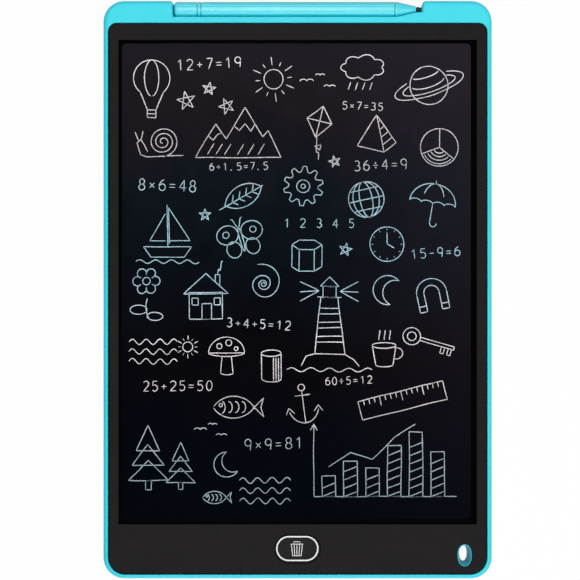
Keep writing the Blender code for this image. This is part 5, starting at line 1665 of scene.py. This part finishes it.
def high_edge(end):
    """The rounded outer edge of a pen piece at its end towards the tip."""
    return list(reversed(rounded_corner(pen_radius, end, PEN_EDGE, -1, -1)))


def sleeve_profile(start, end):
    """A tube's profile, closed on itself, with rounded outer edges."""
    inner = rounded_corner(pen_radius, start, PEN_EDGE, -1, 1)
    return [(BARREL_BORE, end), *high_edge(end), *inner, (BARREL_BORE, start), (BARREL_BORE, end)]


cap_profile = [(0, barrel_low.x + SPIGOT_LENGTH), (spigot, barrel_low.x + SPIGOT_LENGTH), (spigot, cap_end)]
cap_profile += high_edge(cap_end) + rounded_corner(pen_radius, cap_start, CAP_EDGE_ROUND, -1, 1, CAP_STEPS)
cap_profile.append((0, cap_start))
nose_profile = [
    (0, stem_floor),
    (TIP_STEM_RADIUS + GAP, stem_floor),
    (TIP_STEM_RADIUS + GAP, nose_end),
    (CONE_END_RADIUS - PEN_EDGE, nose_end),
    (CONE_END_RADIUS + PEN_EDGE / 4, nose_end - PEN_EDGE),
    (pen_radius - PEN_EDGE / 2, cone_start + PEN_EDGE * 1.5),
    (pen_radius, cone_start - PEN_EDGE),
    *rounded_corner(pen_radius, nose_start, PEN_EDGE, -1, 1),
    (spigot, nose_start),
    (spigot, nose_start - SPIGOT_LENGTH),
    (0, nose_start - SPIGOT_LENGTH),
]
tip_round = arc((TIP_END_RADIUS - TIP_ROUND, tip_end - TIP_ROUND), (TIP_ROUND, TIP_ROUND), 90, 0, TIP_STEPS)
tip_profile = [
    (0, tip_end),
    *tip_round[1:],
    (TIP_RADIUS, tip_start + PEN_EDGE),
    (TIP_RADIUS - PEN_EDGE, tip_start),
    (TIP_STEM_RADIUS, tip_start),
    (TIP_STEM_RADIUS, stem_floor + GAP),
    (0, stem_floor + GAP),
]
PEN_PIECES = (
    ("pen_cap_turned", cap_profile, "pen_end_cap"),
    ("pen_ring_turned", sleeve_profile(ring_low.x, ring_high.x), "pen_ring"),
    ("pen_barrel_turned", sleeve_profile(barrel_low.x, barrel_high.x), "pen_barrel"),
)
for name, profile, node in PEN_PIECES:
    fit(settle(turned(name, profile, along_pen)), "stylus", pen_plastic, "pen_plastic", node)
nose = settle(turned("pen_nose_turned", nose_profile, along_pen), SOFT_CREASE)
fit(nose, "stylus", pen_plastic, "pen_plastic", "pen_nose")
tip = settle(turned("pen_tip_turned", tip_profile, along_pen))
fit(tip, "stylus", tip_plastic, "black_plastic", "pen_tip")

# %% [markdown]
# ## The battery door and its screw
# The door is a small lid in the back, flush but for a hair, held by one captive screw with a cross recess. Both
# are worth their detail, because they are what the back shows. The recess is cut with tapered arms, so that its
# walls lean as a real driver's do.

# %% Form the door and the screw
DOOR_EDGE = 0.00025
DOOR_SCREW_HEAD_HEIGHT = 0.0004
SCREW_EDGE = 0.00012
SCREW_RECESS = 0.0002
SCREW_STEPS = 64
CROSS_ARM_SHARE = 0.62
CROSS_WIDTH_SHARE = 0.26
CROSS_TAPER_SHARE = 0.6
CROSS_FLOOR_SHARE = 0.8

screw_head_radius = (door_screw_high.x - door_screw_low.x) / 2
screw_head_top = door_screw_low.z + DOOR_SCREW_HEAD_HEIGHT
door_outline = even_outline((door_low.x, door_low.y), (door_high.x, door_high.y), DOOR_CORNER)
door = layered("battery_lid", door_outline, rim_levels(door_low.z, door_high.z, DOOR_EDGE, 0))
sink = circle(screw_centre, screw_head_radius + GAP)
carve(door, layered("screw_sink", sink, mouth_levels(door_low.z, screw_head_top + GAP, SCREW_EDGE, None)))
carve(door, layered("shank_hole", shank_hole, mouth_levels(door_low.z, door_high.z, 0.0, 0.0)))
fit(settle(door), "rear_door", case_plastic, "case_plastic", "battery_door")

screw_steel = new_finish("screw_steel", (0.58, 0.58, 0.59), 0.35, 1.0)
drift_tint(screw_steel, 0.002, (0.50, 0.50, 0.51), (0.62, 0.62, 0.63))
drift_gloss(screw_steel, 0.0008, 0.28, 0.45)
add_grain(screw_steel, 0.0003, 0.000004)


def cross_rings(centre, low, high, arm, half, taper_share, floor_share):
    """The two rings of a cutter for a cross, from its arms' reach and half width."""
    rings = []
    for height, size in ((low, 1), (high, floor_share)):
        ring_points = []
        for quarter in range(4):
            cosine = round(math.cos(quarter * math.pi / 2))
            sine = round(math.sin(quarter * math.pi / 2))
            for x, y in ((arm, -half * taper_share), (arm, half * taper_share), (half, half)):
                turned_point = (x * cosine - y * sine, x * sine + y * cosine)
                ring_points.append(tuple(middle + size * value for middle, value in zip(centre, turned_point)))
        rings.append((height, ring_points))
    return rings


screw_profile = [
    (0, door_screw_high.z),
    (DOOR_SCREW_SHANK_RADIUS - SCREW_EDGE, door_screw_high.z),
    (DOOR_SCREW_SHANK_RADIUS, door_screw_high.z - SCREW_EDGE),
    (DOOR_SCREW_SHANK_RADIUS, screw_head_top),
    (screw_head_radius, screw_head_top),
    *rounded_corner(screw_head_radius, door_screw_low.z, SCREW_EDGE, -1, 1),
    (0, door_screw_low.z),
]
screw = turned("door_screw_turned", screw_profile, Matrix.Translation((*screw_centre, 0)), SCREW_STEPS)
recess_heights = (door_screw_low.z - SCREW_RECESS, door_screw_low.z + SCREW_RECESS)
arm_sizes = (screw_head_radius * CROSS_ARM_SHARE, screw_head_radius * CROSS_WIDTH_SHARE)
cross = cross_rings(screw_centre, *recess_heights, *arm_sizes, CROSS_TAPER_SHARE, CROSS_FLOOR_SHARE)
carve(screw, stacked("cross_recess", cross, facets=True))
fit(settle(screw), "rear_door", screw_steel, "screw_steel", "battery_door_screw")

# %% [markdown]
# ## The coin cell
# With the door off, the cell's steel can looks out of the bay. It is bright nickel with a rolled edge, and a
# plain plus sign is pressed into it, which every such cell has.

# %% Turn the cell
CELL_CAP_RADIUS = 0.0087
CELL_CAP_STEP = 0.00035
CELL_EDGE = 0.0005
CELL_EDGE_STEPS = 6
PLUS_ARM = 0.0022
PLUS_HALF = 0.00035
PLUS_TAPER_SHARE = 0.9
PLUS_DEPTH = 0.00008

cell_steel = new_finish("cell_steel", (0.66, 0.65, 0.63), 0.2, 1.0)
drift_gloss(cell_steel, 0.002, 0.14, 0.28)
add_grain(cell_steel, 0.0008, 0.000003)
cap_floor = cell_high.z - CELL_CAP_STEP
cell_profile = [
    (0, cell_high.z),
    (CELL_CAP_RADIUS - CELL_EDGE / 2, cell_high.z),
    (CELL_CAP_RADIUS, cell_high.z - CELL_EDGE / 2),
    (CELL_CAP_RADIUS, cap_floor),
    *reversed(rounded_corner(cell_radius, cap_floor, CELL_EDGE / 2, -1, -1)),
    *rounded_corner(cell_radius, cell_low.z, CELL_EDGE, -1, 1, CELL_EDGE_STEPS),
    (0, cell_low.z),
]
cell = turned("coin_cell_turned", cell_profile, Matrix.Translation((*cell_centre, 0)))
plus_heights = (cell_low.z - PLUS_DEPTH, cell_low.z + PLUS_DEPTH)
plus = cross_rings(cell_centre, *plus_heights, PLUS_ARM, PLUS_HALF, PLUS_TAPER_SHARE, 1)
carve(cell, stacked("plus_sign", plus, facets=True))
fit(settle(cell), "case", cell_steel, "cell_steel", "coin_cell")

# %% [markdown]
# ## The lock knob
# The knob on the back slides to stop the erase button from working. A thumb needs grip on such a small pad, so
# it has fine grooves across its travel. The flange behind it keeps it in the slot, and two prongs carry the
# switch's lever along.

# %% Form the knob
KNOB_FLANGE_THICKNESS = 0.0005
KNOB_CORNER = 0.0006
KNOB_CORNER_STEPS = 6
KNOB_EDGE = 0.0003
GROOVES = 5
GROOVE_WIDTH = 0.0005
GROOVE_DEPTH = 0.0003
PRONG_THICKNESS = 0.0010
PRONG_DEPTH = 0.0020

flange_bottom = BACK_WALL + GAP
knob_flange_top = flange_bottom + KNOB_FLANGE_THICKNESS
flange_span = ((knob_low.x, knob_low.y, flange_bottom), (knob_high.x, knob_high.y, knob_flange_top))
knob = boxes("lock_thumb", [flange_span])
thumb = even_outline(thumb_low, thumb_high, KNOB_CORNER, KNOB_CORNER_STEPS)
attach(knob, layered("thumb_pad", thumb, rim_levels(knob_low.z, flange_bottom + EMBED, KNOB_EDGE, 0)))
lever_low, lever_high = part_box("slide_switch_lever")
prong_y = middle_of("slide_switch_lever")[1]
prongs = []
for near in (lever_low.x - GAP - PRONG_THICKNESS, lever_high.x + GAP):
    low = (near, prong_y - PRONG_DEPTH / 2, knob_flange_top - EMBED)
    prongs.append((low, (near + PRONG_THICKNESS, prong_y + PRONG_DEPTH / 2, knob_high.z)))
attach(knob, boxes("prongs", prongs))
grooves = []
for number in range(GROOVES):
    x = thumb_low[0] + (thumb_high[0] - thumb_low[0]) * (number + 0.5) / GROOVES
    low = (x - GROOVE_WIDTH / 2, thumb_low[1] + KNOB_CORNER, knob_low.z - OVERRUN)
    grooves.append((low, (x + GROOVE_WIDTH / 2, thumb_high[1] - KNOB_CORNER, knob_low.z + GROOVE_DEPTH)))
carve(knob, boxes("grooves", grooves))
knob_plastic = new_finish("knob_plastic", CHARCOAL, 0.6, gloss=0.3)
drift_tint(knob_plastic, 0.004, CHARCOAL_DEEP, CHARCOAL)
drift_gloss(knob_plastic, 0.001, 0.5, 0.7)
add_grain(knob_plastic, 0.0003, 0.00001)
fit(settle(knob), "lock_slider", knob_plastic, "knob_plastic", "lock_knob")

# %% [markdown]
# ## What the case holds
# The screen's pad and its stiff sheet, the circuit board and its parts are hidden in the closed tablet. Their
# solids are right as they are, so each only gets its finish. The board has a green lacquer over copper tracks,
# which a brick pattern draws well: tracks run straight, at right angles and in even steps.

# %% Mix the finishes of the inside
ROUGHNESS_DRIFT = 0.08
BOARD_GREEN = (0.02, 0.17, 0.07)
BOARD_GREEN_DEEP = (0.016, 0.14, 0.06, 1)
TRACK_GREEN = (0.05, 0.30, 0.13, 1)
TRACK_HEIGHT = 0.00003
TRACK_SCALE = 300.0
TRACK_SHARE = 0.08
INNER_FINISHES = (
    ("grey_foam", (0.32, 0.33, 0.34), 0.7, 0.001, 0.00004, 0.85, 0.0),
    ("grey_board", (0.55, 0.55, 0.52), 0.85, 0.003, 0.00001, 0.75, 0.0),
    ("amber_film", (0.62, 0.30, 0.06), 0.75, 0.001, 0.000004, 0.3, 0.0),
    ("cream_plastic", (0.80, 0.76, 0.66), 0.9, 0.001, 0.000006, 0.5, 0.0),
    ("black_mould", (0.012, 0.012, 0.013), 0.7, 0.0008, 0.000008, 0.55, 0.0),
    ("switch_cover", (0.62, 0.62, 0.63), 0.85, 0.002, 0.000004, 0.32, 1.0),
    ("spring_nickel", (0.66, 0.64, 0.60), 0.88, 0.002, 0.000003, 0.25, 1.0),
    ("ferrite", (0.02, 0.02, 0.02), 0.6, 0.0006, 0.000012, 0.6, 0.0),
    ("tan_ceramic", (0.52, 0.38, 0.22), 0.85, 0.0006, 0.000004, 0.4, 0.0),
    ("black_ceramic", (0.02, 0.02, 0.02), 0.6, 0.0005, 0.000004, 0.3, 0.0),
)

inner = {"screw_steel": screw_steel}
for name, colour, deep_share, size, grain, roughness, metallic in INNER_FINISHES:
    inner[name] = new_finish(name, colour, roughness, metallic)
    drift_tint(inner[name], size, tuple(value * deep_share for value in colour), colour)
    drift_gloss(inner[name], size / 2, roughness - ROUGHNESS_DRIFT, roughness + ROUGHNESS_DRIFT)
    add_grain(inner[name], size / 4, grain)

lacquer = inner["green_lacquer"] = new_finish("green_lacquer", BOARD_GREEN, 0.3)
bricks = {"Vector": place_of(lacquer), "Scale": TRACK_SCALE, "Mortar Size": TRACK_SHARE}
bricks.update({"Color1": (*BOARD_GREEN, 1), "Color2": BOARD_GREEN_DEEP, "Mortar": TRACK_GREEN})
tracks = add_node(lacquer.node_tree, "ShaderNodeTexBrick", bricks)
feed(lacquer, "Base Color", tracks.outputs["Color"])
drift_gloss(lacquer, 0.002, 0.24, 0.36)
add_bump(lacquer, tracks.outputs["Fac"], TRACK_HEIGHT)
add_grain(lacquer, 0.0004, 0.000004)
print("finishes:", len(bpy.data.materials))

# %% Dress the inside
INSIDE = {
    "grey_foam": "foam_pad",
    "grey_board": "backing_board",
    "amber_film": "lcd_flex_tail",
    "cream_plastic": "flex_connector",
    "green_lacquer": "circuit_board",
    "screw_steel": "board_screw_1 board_screw_2 board_screw_3",
    "switch_cover": "tact_switch_body slide_switch_body",
    "black_mould": "tact_switch_plunger driver_chip slide_switch_lever",
    "ferrite": "inductor",
    "tan_ceramic": "capacitor_1 capacitor_2 capacitor_3",
    "black_ceramic": "resistor_1 resistor_2",
    "spring_nickel": "positive_contact negative_contact",
}
for finish, nodes in INSIDE.items():
    for node in nodes.split():
        dress_node(node, inner[finish])
print("inner pieces dressed:", sum(len(nodes.split()) for nodes in INSIDE.values()))
